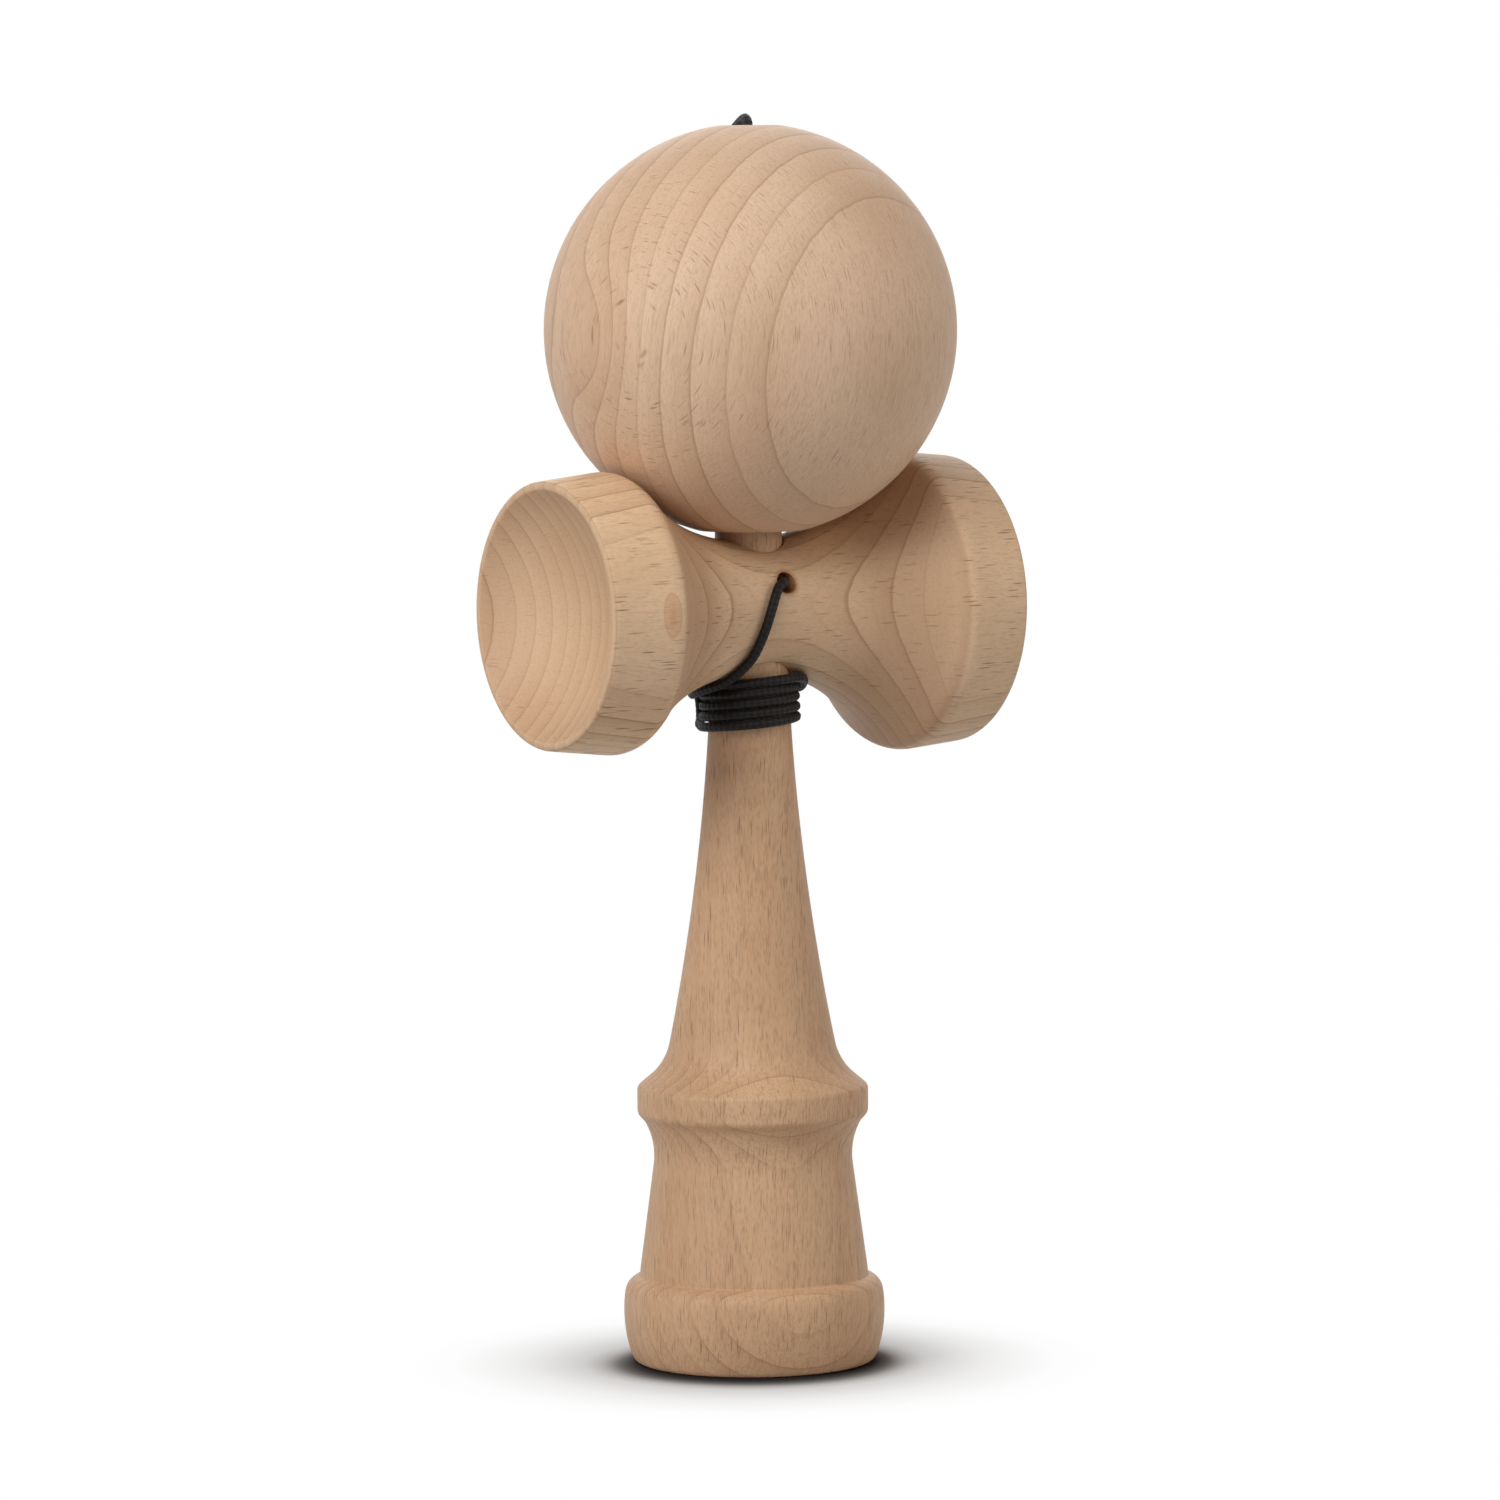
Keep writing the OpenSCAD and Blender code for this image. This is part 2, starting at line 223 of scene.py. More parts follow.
@dataclass
class Shell:
    """Points and faces gathered patch by patch before they become one mesh."""

    points: list[np.ndarray] = field(default_factory=list)
    quads: list[np.ndarray] = field(default_factory=list)
    tris: list[np.ndarray] = field(default_factory=list)
    count: int = 0

    def add(self, points: np.ndarray) -> np.ndarray:
        """Adds points.

        Args:
            points: An array whose last axis holds the coordinates.

        Returns:
            The points' numbers in the shell, in the array's own layout.
        """
        flat = points.reshape(-1, 3)
        numbers = np.arange(self.count, self.count + len(flat)).reshape(points.shape[:-1])
        self.points.append(flat)
        self.count += len(flat)
        return numbers

    def between(self, rows: np.ndarray, keep: np.ndarray | None = None, loop: bool = False) -> None:
        """Fills quads between neighbouring rings of points.

        Args:
            rows: The point numbers, ring by ring.
            keep: Which quads to make, if not all.
            loop: Whether the last ring also joins the first.
        """
        rows = np.concatenate([rows, rows[:1]]) if loop else rows
        side = np.roll(rows, -1, axis=1)
        faces = np.stack([rows[:-1], side[:-1], side[1:], rows[1:]], -1)
        self.quads.append(faces.reshape(-1, 4) if keep is None else faces[keep])

    def close(self, ring: np.ndarray, tip: int) -> None:
        """Fans triangles from a ring of points to one tip."""
        self.tris.append(np.stack([ring, np.roll(ring, -1), np.full_like(ring, tip)], -1))

    def mesh(self, name: str) -> bpy.types.Mesh:
        """Makes the bare mesh.

        Args:
            name: Its name.

        Returns:
            A mesh of all the points, with the quads first and then the triangles.
        """
        mesh = bpy.data.meshes.new(name)
        faces = [face for block in (*self.quads, *self.tris) for face in block.tolist()]
        mesh.from_pydata(np.concatenate(self.points).tolist(), [], faces)
        return mesh

    def build(self, name: str) -> bpy.types.Object:
        """Makes the piece: doubles merged, faces turned outwards, smooth but for sharp creases.

        Args:
            name: The piece's name.

        Returns:
            The new object, linked to the scene, its place in its mesh.
        """
        mesh = self.mesh(name)
        solid = bmesh.new()
        solid.from_mesh(mesh)
        bmesh.ops.remove_doubles(solid, verts=solid.verts, dist=MERGE_DISTANCE)
        bmesh.ops.recalc_face_normals(solid, faces=solid.faces)
        solid.to_mesh(mesh)
        solid.free()
        smooth(mesh)
        mesh.set_sharp_from_angle(angle=np.radians(CREASE_DEG))
        return linked(name, mesh)


def smooth(mesh: bpy.types.Mesh) -> None:
    """Shades all of a mesh's faces smooth."""
    mesh.polygons.foreach_set("use_smooth", np.ones(len(mesh.polygons), bool))


def linked(name: str, data: bpy.types.ID) -> bpy.types.Object:
    """Puts data into the scene.

    Args:
        name: The new object's name.
        data: Its mesh, lamp or camera.

    Returns:
        The object.
    """
    thing = bpy.data.objects.new(name, data)
    bpy.context.scene.collection.objects.link(thing)
    return thing


@dataclass(frozen=True)
class Turning:
    """The axis that a piece is turned about: a point on it, its way, and where its angle is 0 and 90."""

    middle: Triple
    way: Triple = (0, 0, 1)
    zero: Triple = (1, 0, 0)
    quarter: Triple = (0, 1, 0)

    def ring(self, along: np.ndarray, radius: np.ndarray, angle: np.ndarray) -> np.ndarray:
        """Points at middle + along * way + radius * (cos angle * zero + sin angle * quarter)."""
        out = np.stack([np.cos(angle), np.sin(angle)], -1) @ np.array([self.zero, self.quarter])
        return np.array(self.middle) + along[..., None] * np.array(self.way) + radius[..., None] * out

    def bored(self, along: np.ndarray, aside: np.ndarray, depth: np.ndarray, facing: float) -> np.ndarray:
        """Points of a hole let into the side.

        Args:
            along: Their places along the axis.
            aside: Their distances to the side of the hole's own direction.
            depth: Their distances from the axis in that direction.
            facing: The angle about the axis that the hole faces.

        Returns:
            The points.
        """
        zero, quarter = np.array(self.zero), np.array(self.quarter)
        out = zero * np.cos(facing) + quarter * np.sin(facing)
        side = quarter * np.cos(facing) - zero * np.sin(facing)
        flat = aside[..., None] * side + depth[..., None] * out
        return np.array(self.middle) + along[..., None] * np.array(self.way) + flat


@dataclass(frozen=True)
class CrossHole:
    """A round hole let into the side of a turned piece, square to its axis.

    A block of the piece's quads is left out. Rings that blend from the block's border to the
    hole's circle fill it, and then come a rounded edge and the wall, which widens by taper.
    """

    along: float
    aside: float
    facing: float
    radius: float
    floor: float
    reach: float
    columns: tuple[float, float]
    bevel: float
    taper: float = 0.0
    through: bool = False
    SKIN_RINGS = 5
    EDGE_RINGS = 4
    WALL_RINGS = 4

    @staticmethod
    def shares(count: int) -> np.ndarray:
        """Even steps up to 1 without the 0, one to each row."""
        return np.linspace(0, 1, count + 1)[1:, None]

    def let_in(
        self, shell: Shell, rows: np.ndarray, keep: np.ndarray, outline: np.ndarray, turning: Turning,
    ) -> None:
        """Cuts the hole.

        Args:
            shell: The shell that holds the piece.
            rows: Its point numbers, ring by ring.
            keep: Which of its quads stay, changed here.
            outline: The piece's outline, along and radius for each ring.
            turning: The axis that it is turned about.
        """
        count = rows.shape[1]
        near = np.nonzero(np.abs(outline[:, 0] - self.along) <= self.reach)[0]
        top, bottom = near.min(), near.max()
        left, right = (round(degrees / 360 * count) for degrees in self.columns)
        keep[top:bottom, left:right] = False
        row = np.concatenate([
            np.full(right - left, top), np.arange(top, bottom),
            np.full(right - left, bottom), np.arange(bottom, top, -1),
        ])
        column = np.concatenate([
            np.arange(left, right), np.full(bottom - top, right),
            np.arange(right, left, -1), np.full(bottom - top, left),
        ])
        order = np.argsort(outline[top : bottom + 1, 0])
        known = outline[top : bottom + 1][order]
        facing = np.radians(self.facing)

        def outer(along: np.ndarray) -> np.ndarray:
            """The piece's own radius at a place along its axis."""
            return np.interp(along, known[:, 0], known[:, 1])

        border = outline[row, 0]
        turn = 2 * np.pi * column / count - facing
        round_way = np.arctan2(outer(border) * np.sin(turn) - self.aside, border - self.along)

        def circle(radius: np.ndarray) -> tuple[np.ndarray, np.ndarray]:
            """Along and aside of the hole's circles of those radii."""
            return self.along + radius * np.cos(round_way), self.aside + radius * np.sin(round_way)

        along, aside = circle(self.radius + self.bevel)
        blend = self.shares(self.SKIN_RINGS)
        lie_along = (1 - blend) * border + blend * along
        lie_turn = (1 - blend) * turn + blend * np.arcsin(aside / outer(along))
        skin = turning.ring(lie_along, outer(lie_along), facing + lie_turn)

        edge = np.radians(90 * self.shares(self.EDGE_RINGS))
        along, aside = circle(self.radius + self.bevel * (1 - np.sin(edge)))
        depth = np.sqrt(outer(along) ** 2 - aside**2) - self.bevel * (1 - np.cos(edge))
        rounded = turning.bored(along, aside, depth, facing)

        down = self.shares(self.WALL_RINGS)
        along, aside = circle(self.radius + down * self.taper)
        wall = turning.bored(along, aside, (1 - down) * depth[-1] + down * self.floor, facing)

        rings = shell.add(np.concatenate([skin, rounded, wall]))
        shell.between(np.concatenate([rows[row, column][None], rings]))
        if not self.through:
            tip = turning.bored(*np.array([[self.along], [self.aside], [self.floor]]), facing)
            shell.close(rings[-1], int(shell.add(tip)[0]))


def turned(
    name: str,
    outline: np.ndarray,
    turning: Turning,
    columns: int,
    ends: Ends = Ends.ON_AXIS,
    holes: Sequence[CrossHole] = (),
) -> bpy.types.Object:
    """A turned piece: its outline carried round its axis, with holes let into its side.

    Args:
        name: The piece's name.
        outline: Along and radius of each ring. Unless it is a loop, it begins and ends on the axis.
        turning: The axis.
        columns: Points round each ring.
        ends: How the outline ends.
        holes: The holes in its side.

    Returns:
        The piece's object.
    """
    shell = Shell()
    loop = ends is Ends.LOOP
    body = outline if loop else outline[1:-1]
    angle = 2 * np.pi * np.arange(columns) / columns
    rows = shell.add(turning.ring(*np.broadcast_arrays(body[:, :1], body[:, 1:], angle[None])))
    keep = np.ones((len(body) if loop else len(body) - 1, columns), bool)
    for hole in holes:
        hole.let_in(shell, rows, keep, body, turning)
    shell.between(rows, keep, loop)
    if not loop:
        tips = shell.add(turning.ring(outline[[0, -1], 0], np.zeros(2), np.zeros(2)))
        shell.close(rows[0], int(tips[0]))
        shell.close(rows[-1], int(tips[1]))
    return shell.build(name)


class Nodes:
    """Short calls that add and link the nodes of one tree."""

    def __init__(self, tree: bpy.types.NodeTree) -> None:
        """Starts with an empty tree."""
        self.tree = tree
        tree.nodes.clear()

    def add(self, kind: str, inputs: dict[Any, Any] | None = None, **settings: Any) -> bpy.types.Node:
        """Adds a node.

        Args:
            kind: The node's type name.
            inputs: Values or sockets for its inputs, by name or number.
            settings: The node's own properties.

        Returns:
            The node.
        """
        node = self.tree.nodes.new(kind)
        for key, value in settings.items():
            setattr(node, key, value)
        for key, value in (inputs or {}).items():
            if isinstance(value, Socket):
                self.tree.links.new(value, node.inputs[key])
            else:
                node.inputs[key].default_value = value
        return node

    def math(self, operation: str, *values: Any, clamp: bool = False) -> Socket:
        """One Math node's result."""
        node = self.add("ShaderNodeMath", dict(enumerate(values)), operation=operation, use_clamp=clamp)
        return node.outputs[0]

    def times(self, first: Any, second: Any) -> Socket:
        """The product of two values."""
        return self.math("MULTIPLY", first, second)

    def vector(self, operation: str, *values: Any, out: int = 0) -> Socket:
        """One Vector Math node's result, its vector (0) or its value (1)."""
        return self.add("ShaderNodeVectorMath", dict(enumerate(values)), operation=operation).outputs[out]

    def joined(self, x: Any, y: Any, z: Any) -> Socket:
        """Three values as one vector."""
        return self.add("ShaderNodeCombineXYZ", {"X": x, "Y": y, "Z": z}).outputs[0]

    def parts(self, vector: Any) -> Any:
        """The outputs X, Y and Z of a vector."""
        return self.add("ShaderNodeSeparateXYZ", {0: vector}).outputs

    def noise(
        self, vector: Any, scale: Triple, detail: float, rough: float = 0.5, shift: Triple = (0, 0, 0),
    ) -> Any:
        """The outputs of a noise texture over a vector that is scaled along each axis and then moved."""
        spot = self.vector("MULTIPLY_ADD", vector, scale, shift)
        return self.add("ShaderNodeTexNoise", {
            "Vector": spot, "Scale": 1.0, "Detail": detail, "Roughness": rough,
        }).outputs

    def ramp(self, value: Any, stops: Sequence[tuple[float, float]]) -> Socket:
        """A grey value read off a ramp.

        Args:
            value: The place on the ramp.
            stops: Place and value of each stop.

        Returns:
            The grey.
        """
        node = self.add("ShaderNodeValToRGB", {"Fac": value})
        band = node.color_ramp.elements
        while len(band) < len(stops):
            band.new(0.5)
        for stop, (place, grey) in zip(band, stops):
            stop.position = place
            stop.color = (grey, grey, grey, 1)
        return node.outputs["Color"]

    def mix(self, amount: Any, first: Any, second: Any) -> Socket:
        """Two colours mixed."""
        return self.add("ShaderNodeMix", {0: amount, 6: first, 7: second}, data_type="RGBA").outputs[2]

    def between(self, value: Any, low: Any, high: Any) -> Socket:
        """A 0 to 1 value spread from low to high."""
        return self.add("ShaderNodeMapRange", {"Value": value, "To Min": low, "To Max": high}).outputs[0]


def new_skin(name: str) -> tuple[bpy.types.Material, Nodes]:
    """Starts a material.

    Args:
        name: Its name.

    Returns:
        The material and the calls that add its nodes.
    """
    skin = bpy.data.materials.new(name)
    skin.use_nodes = True
    return skin, Nodes(skin.node_tree)


class NodeGroup:
    """A shader node group that the materials share. Its outputs are plain values."""

    NAME = ""
    VECTORS: tuple[str, ...] = ()
    VALUES: tuple[str, ...] = ()
    OUTPUTS: tuple[str, ...] = ()

    @classmethod
    def tree(cls) -> bpy.types.NodeTree:
        """The group, built with its sockets when it is first asked for.

        Returns:
            The node group.
        """
        made = bpy.data.node_groups.get(cls.NAME)
        if made is None:
            made = bpy.data.node_groups.new(cls.NAME, "ShaderNodeTree")
            for in_out, kind, labels in (
                ("INPUT", "NodeSocketVector", cls.VECTORS),
                ("INPUT", "NodeSocketFloat", cls.VALUES),
                ("OUTPUT", "NodeSocketFloat", cls.OUTPUTS),
            ):
                for label in labels:
                    made.interface.new_socket(label, in_out=in_out, socket_type=kind)
            n = Nodes(made)
            results = cls.results(n, n.add("NodeGroupInput").outputs)
            n.add("NodeGroupOutput", dict(zip(cls.OUTPUTS, results)))
        return made

    @classmethod
    def results(cls, n: Nodes, given: Any) -> Sequence[Socket]:
        """The sockets that the outputs take their values from, in order."""
        raise NotImplementedError


class BeechGrain(NodeGroup):
    """The node group that all the beech takes its grain from.

    Position is in millimetres in the board's own frame: X out from the pith, Z along the grain.
    Ring is dark just past each growth line and fades to the next one, Ray is the short dark dash of
    a ray, Fibre the fine streak along the grain, Mottle the slow change of tone, and Eye the place
    where the layers bulge.
    """

    NAME = "beech_grain"
    VECTORS = ("Position", "Eye Place")
    VALUES = (
        "Pith Distance", "First Ring", "Ring Spacing", "Waver", "Eye Size", "Eye Lift", "Eye Squeeze",
        "First Strength", "Ray Length", "Ray Width", "Ray Share",
    )
    OUTPUTS = ("Ring", "Ray", "Fibre", "Mottle", "Eye")
    RING_PROFILE = (
        (0.0, 0.7), (0.02, 1.0), (0.05, 0.75), (0.10, 0.38), (0.45, 0.14), (0.49, 0.28), (0.56, 0.10),
        (0.85, 0.0), (0.985, 0.0), (1.0, 0.7),
    )
    DASH_PROFILE = ((0.0, 1.0), (0.5, 0.9), (1.0, 0.0))

    @classmethod
    def results(cls, n: Nodes, given: Any) -> Sequence[Socket]:
        """Builds the grain.

        The distance from the pith line, bent by slow noise and raised at the eye, is counted in rings.
        Rays are thin lenses that run out from the pith: cells stretched along that way and the grain.

        Args:
            n: The group's nodes.
            given: The group's inputs.

        Returns:
            The sockets of the outputs.
        """
        place = given["Position"]
        sway = n.noise(place, (0.05, 0.05, 0.016), 1.5)["Color"]
        bend = n.vector("SUBTRACT", sway, (0.5, 0.5, 0.5))
        waver = given["Waver"]
        bent = n.vector("ADD", place, n.vector("MULTIPLY", bend, n.joined(waver, waver, waver)))

        off = n.vector("SUBTRACT", place, given["Eye Place"])
        off = n.vector("MULTIPLY", off, n.joined(1.0, 1.0, given["Eye Squeeze"]))
        share = n.math("DIVIDE", n.vector("LENGTH", off, out=1), given["Eye Size"])
        eye = n.math("EXPONENT", n.times(n.times(share, share), -1.0))

        parts = n.parts(bent)
        out = n.math("ADD", parts["X"], given["Pith Distance"])
        pith = n.math("SQRT", n.math("ADD", n.times(out, out), n.times(parts["Y"], parts["Y"])))
        layer = n.math("ADD", pith, n.times(eye, given["Eye Lift"]))
        past = n.math("SUBTRACT", layer, given["First Ring"])
        jag = n.between(n.noise(place, (0.5, 0.5, 0.12), 3.0)["Fac"], -0.05, 0.05)
        rings = n.math("ADD", n.math("DIVIDE", past, given["Ring Spacing"]), jag)
        profile = n.ramp(n.math("FRACT", rings), cls.RING_PROFILE)
        each = n.add("ShaderNodeTexWhiteNoise", {"W": n.math("FLOOR", rings)}, noise_dimensions="1D")
        grown = n.math("MULTIPLY_ADD", rings, 0.5, given["First Strength"], clamp=True)
        begun = n.times(n.math("GREATER_THAN", rings, 0.0), grown)
        ring = n.times(profile, n.times(n.between(each.outputs["Value"], 0.5, 1.0), begun))

        aside = n.times(n.math("DIVIDE", parts["Y"], out), given["Pith Distance"])
        across = n.math("DIVIDE", aside, given["Ray Width"])
        lens = n.joined(n.times(pith, 0.45), across, n.math("DIVIDE", parts["Z"], given["Ray Length"]))
        cell = n.add("ShaderNodeTexVoronoi", {"Vector": lens, "Scale": 1.0, "Randomness": 1.0}, feature="F1")
        draw = n.add("ShaderNodeSeparateColor", {0: cell.outputs["Color"]}).outputs
        edge = n.math("DIVIDE", cell.outputs["Distance"], n.between(draw["Red"], 0.16, 0.46))
        shown = n.math("LESS_THAN", draw["Green"], given["Ray Share"])
        ray = n.times(n.ramp(edge, cls.DASH_PROFILE), n.times(shown, n.between(draw["Blue"], 0.3, 1.0)))

        thread = n.joined(pith, aside, parts["Z"])
        streak = n.noise(thread, (2.6, 2.6, 0.16), 4.0, 0.6)["Fac"]
        pore = n.noise(thread, (6.5, 6.5, 0.9), 1.0, shift=(31, 7, 5))["Fac"]
        fibre = n.math("ADD", n.times(streak, 0.5), n.times(pore, 0.5))
        mottle = n.noise(place, (0.06, 0.06, 0.028), 3.0, shift=(3, 11, 17))["Fac"]
        return ring, ray, fibre, mottle, eye


def srgb(colour: Triple) -> tuple[float, ...]:
    """A display colour of 0 to 255 as the linear colour that a shader takes."""
    c = np.array(colour) / 255
    return (*np.where(c <= 0.04045, c / 12.92, ((c + 0.055) / 1.055) ** 2.4).tolist(), 1.0)


@dataclass(frozen=True)
class BeechFinish:
    """Bare sanded beech, satin: how one piece lies in its board, and its tones.

    Lengths of the grain are in millimetres. The pith lies pith_distance from the middle, pith_way
    from it, and the growth lines lie parallel to grain_way.
    """

    name: str
    middle: Triple
    grain_way: Triple
    pith_way: Triple
    pith_distance: float
    first_ring: float
    ring_spacing: float
    waver: float
    first_strength: float = 0.6
    eye_place: Triple = (0, 0, 0)
    eye_size: float = 5.0
    eye_lift: float = 0.0
    eye_squeeze: float = 1.0
    eye_shade: float = 0.0
    eye_tint: Triple = (184, 126, 92)
    ray_length: float = 3.2
    ray_width: float = 0.3
    ray_share: float = 0.3
    pale: Triple = (226, 196, 170)
    warm: Triple = (214, 180, 150)
    line: Triple = (170, 128, 96)
    dash: Triple = (136, 94, 64)
    ring_depth: float = 0.62
    dash_depth: float = 0.62
    fleck_depth: float = 0.45
    long_strength: float = 1.0
    end_depth: float = 0.0
    end_rays: float = 0.25
    end_rings: float = 1.0
    end_tint: Triple = (180, 140, 108)
    burnt_hole: Triple | None = None
    burnt: Triple = (190, 126, 78)
    END = "end_grain"
    SLOPE = ((0.3, 0.0), (0.5, 1.0), (0.72, 1.0), (0.86, 0.65), (1.0, 0.6))
    EYE_PROFILE = ((0.0, 0.0), (0.30, 0.0), (0.40, 0.8), (0.50, 0.55), (0.8, 0.7), (1.0, 1.0))
    SCORCH = (0.1 * MM, 0.7 * MM)

    def board(self) -> Matrix:
        """The turn from the part's frame to the board's: X away from the pith, Z along the grain.

        Returns:
            A matrix of three rows.
        """
        up = Vector(self.grain_way).normalized()
        away = -Vector(self.pith_way)
        away = (away - up * away.dot(up)).normalized()
        return Matrix((away, up.cross(away), up))

    def in_board(self, point: Sequence[float]) -> Vector:
        """A point of the part's frame in the board's frame, in millimetres from the piece's middle."""
        return self.board() @ (Vector(point) - Vector(self.middle)) * PER_MM

    def mark(self, piece: bpy.types.Object) -> None:
        """Writes each point's end grain to an attribute: the cosine between its normal and the grain.

        Args:
            piece: The piece that gets the attribute.
        """
        mesh = piece.data
        facing = np.empty(len(mesh.vertices) * 3, np.float32)
        mesh.vertices.foreach_get("normal", facing)
        way = np.array(Vector(self.grain_way).normalized())
        layer = mesh.attributes.new(self.END, "FLOAT", "POINT")
        layer.data.foreach_set("value", np.abs(facing.reshape(-1, 3) @ way).astype(np.float32))

    def scorch(self, n: Nodes, spot: Socket) -> Socket:
        """How burnt the wood is round the hole drilled along Y: full to 0.1 mm outside it, gone at 0.7 mm.

        Args:
            n: The material's nodes.
            spot: Object coordinates.

        Returns:
            The 0 to 1 share of the burnt tone.
        """
        x, z, r = self.burnt_hole
        off = n.vector("MULTIPLY", n.vector("SUBTRACT", spot, (x, 0, z)), (1, 0, 1))
        full, gone = (r + distance for distance in self.SCORCH)
        near = n.add("ShaderNodeMapRange", {
            "Value": n.vector("LENGTH", off, out=1), "From Min": full, "From Max": gone,
            "To Min": 1.0, "To Max": 0.0,
        }).outputs[0]
        front = n.math("LESS_THAN", n.parts(spot)["Y"], 0.0)
        patchy = n.noise(spot, (1.6 * PER_MM,) * 3, 2.0)["Fac"]
        return n.times(n.times(near, front), n.between(patchy, 0.35, 1.0))

    def material(self) -> bpy.types.Material:
        """Builds the finish.

        Returns:
            The material, with colour, roughness and bump from the grain.
        """
        skin, n = new_skin(self.name)
        spot = n.add("ShaderNodeTexCoord").outputs["Object"]
        turn = self.board()
        frame_in = n.add("ShaderNodeMapping", {
            "Vector": spot,
            "Location": tuple(turn @ Vector(self.middle) * -PER_MM),
            "Rotation": tuple(turn.to_euler("XYZ")),
            "Scale": (PER_MM, PER_MM, PER_MM),
        }).outputs[0]
        given = {label: getattr(self, label.lower().replace(" ", "_")) for label in BeechGrain.VALUES}
        given |= {"Position": frame_in, "Eye Place": tuple(self.in_board(self.eye_place))}
        g = n.add("ShaderNodeGroup", given, node_tree=BeechGrain.tree()).outputs
        tone = n.mix(n.ramp(g["Mottle"], [(0.32, 0.0), (0.68, 1.0)]), srgb(self.pale), srgb(self.warm))
        end = n.add("ShaderNodeAttribute", attribute_name=self.END).outputs["Fac"]
        slope = [(place, share * self.end_depth) for place, share in self.SLOPE]
        tone = n.mix(n.ramp(end, slope), tone, srgb(self.end_tint))
        clear = n.ramp(end, [
            (0.05, self.long_strength * self.ring_depth), (0.4, self.ring_depth), (0.75, self.ring_depth),
            (0.9, self.end_rings * self.ring_depth),
        ])
        tone = n.mix(n.times(g["Ring"], clear), tone, srgb(self.line))
        tone = n.mix(n.times(n.ramp(g["Eye"], self.EYE_PROFILE), self.eye_shade), tone, srgb(self.eye_tint))
        fleck = n.ramp(g["Fibre"], [(0.36, self.fleck_depth), (0.50, 0.22 * self.fleck_depth), (0.62, 0.0)])
        tone = n.mix(fleck, tone, srgb(self.line))
        ray = n.times(g["Ray"], n.ramp(end, [(0.45, 1.0), (0.9, self.end_rays)]))
        tone = n.mix(n.times(ray, self.dash_depth), tone, srgb(self.dash))
        if self.burnt_hole is not None:
            tone = n.mix(self.scorch(n, spot), tone, srgb(self.burnt))
        height = n.math("SUBTRACT", n.times(g["Fibre"], 0.5), n.times(ray, 0.5))
        bump = n.add("ShaderNodeBump", {"Height": height, "Strength": 0.22, "Distance": 0.06 * MM})
        wood = n.add("ShaderNodeBsdfPrincipled", {
            "Base Color": tone,
            "Roughness": n.between(g["Fibre"], 0.62, 0.44),
            "Normal": bump.outputs[0],
            "Specular IOR Level": 0.35,
        })
        n.add("ShaderNodeOutputMaterial", {"Surface": wood.outputs[0]})
        return skin

    def dress(self, piece: bpy.types.Object, slot: Slot, body: Body, node: str) -> None:
        """Marks a piece's end grain and hands the piece over in this finish."""
        self.mark(piece)
        hand_over(piece, self.material(), slot, body, node)


class BraidWeave(NodeGroup):
    """The node group of a round braid over a UV: U is a share of the way round, V a length in millimetres.

    Strand is high on each strand and low between strands, and Thread is the fine lay of threads in a strand.
    """

    NAME = "braid_weave"
    VECTORS = ("UV",)
    VALUES = ("Strands", "Pick")
    OUTPUTS = ("Strand", "Thread")

    @classmethod
    def results(cls, n: Nodes, given: Any) -> Sequence[Socket]:
        """Strand height (2 + cos(2 pi strands u) + cos(2 pi v / pick)) / 4, and threads in a slanting wave.

        Args:
            n: The group's nodes.
            given: The group's inputs.

        Returns:
            The sockets of the outputs.
        """
        way = n.parts(given["UV"])
        across = n.times(n.times(way["X"], given["Strands"]), 2 * np.pi)
        along = n.times(n.math("DIVIDE", way["Y"], given["Pick"]), 2 * np.pi)
        both = n.math("ADD", n.math("COSINE", across), n.math("COSINE", along))
        strand = n.math("MULTIPLY_ADD", both, 0.25, 0.5)
        slant = n.math("ADD", n.times(across, 2.0), n.times(along, 3.0))
        return strand, n.math("MULTIPLY_ADD", n.math("SINE", slant), 0.5, 0.5)


@dataclass(frozen=True)
class BraidFinish:
    """Matt black braid, with a faint grey painted highlight on the strand tops, painted shade in the valleys
    between strands and a little real sheen.
    """

    name: str
    uv: str
    strands: int
    pick: float
    # deep is the braid's black with painted shade in the valleys; high is the painted highlight on the
    # strand tops.
    deep: Triple = (6, 5, 5)
    high: Triple = (26, 20, 15)

    def material(self) -> bpy.types.Material:
        """Builds the finish.

        Returns:
            The material, its weave read from the piece's own UV.
        """
        skin, n = new_skin(self.name)
        spot = n.add("ShaderNodeUVMap", uv_map=self.uv).outputs[0]
        given = {"UV": spot, "Strands": float(self.strands), "Pick": self.pick}
        weave = n.add("ShaderNodeGroup", given, node_tree=BraidWeave.tree()).outputs
        strand = weave["Strand"]
        # Painted highlight on the strand tops, patchy along the cord, fading to painted shade in the
        # valleys.
        patchy = n.between(n.noise(spot, (3.0, 0.35, 1.0), 3.0)["Fac"], 0.35, 1.25)
        lift = n.math("MULTIPLY", n.ramp(strand, [(0.15, 0.0), (0.9, 1.0)]), patchy, clamp=True)
        height = n.math("ADD", strand, n.times(weave["Thread"], 0.25))
        bump = n.add("ShaderNodeBump", {"Height": height, "Strength": 0.6, "Distance": 0.06 * MM})
        braid = n.add("ShaderNodeBsdfPrincipled", {
            "Base Color": n.mix(lift, srgb(self.deep), srgb(self.high)),
            "Roughness": n.between(strand, 0.8, 0.5),
            "Normal": bump.outputs[0],
            "Specular IOR Level": 0.25,
            "Sheen Weight": 0.06,
            "Sheen Roughness": 0.4,
        })
        n.add("ShaderNodeOutputMaterial", {"Surface": braid.outputs[0]})
        return skin


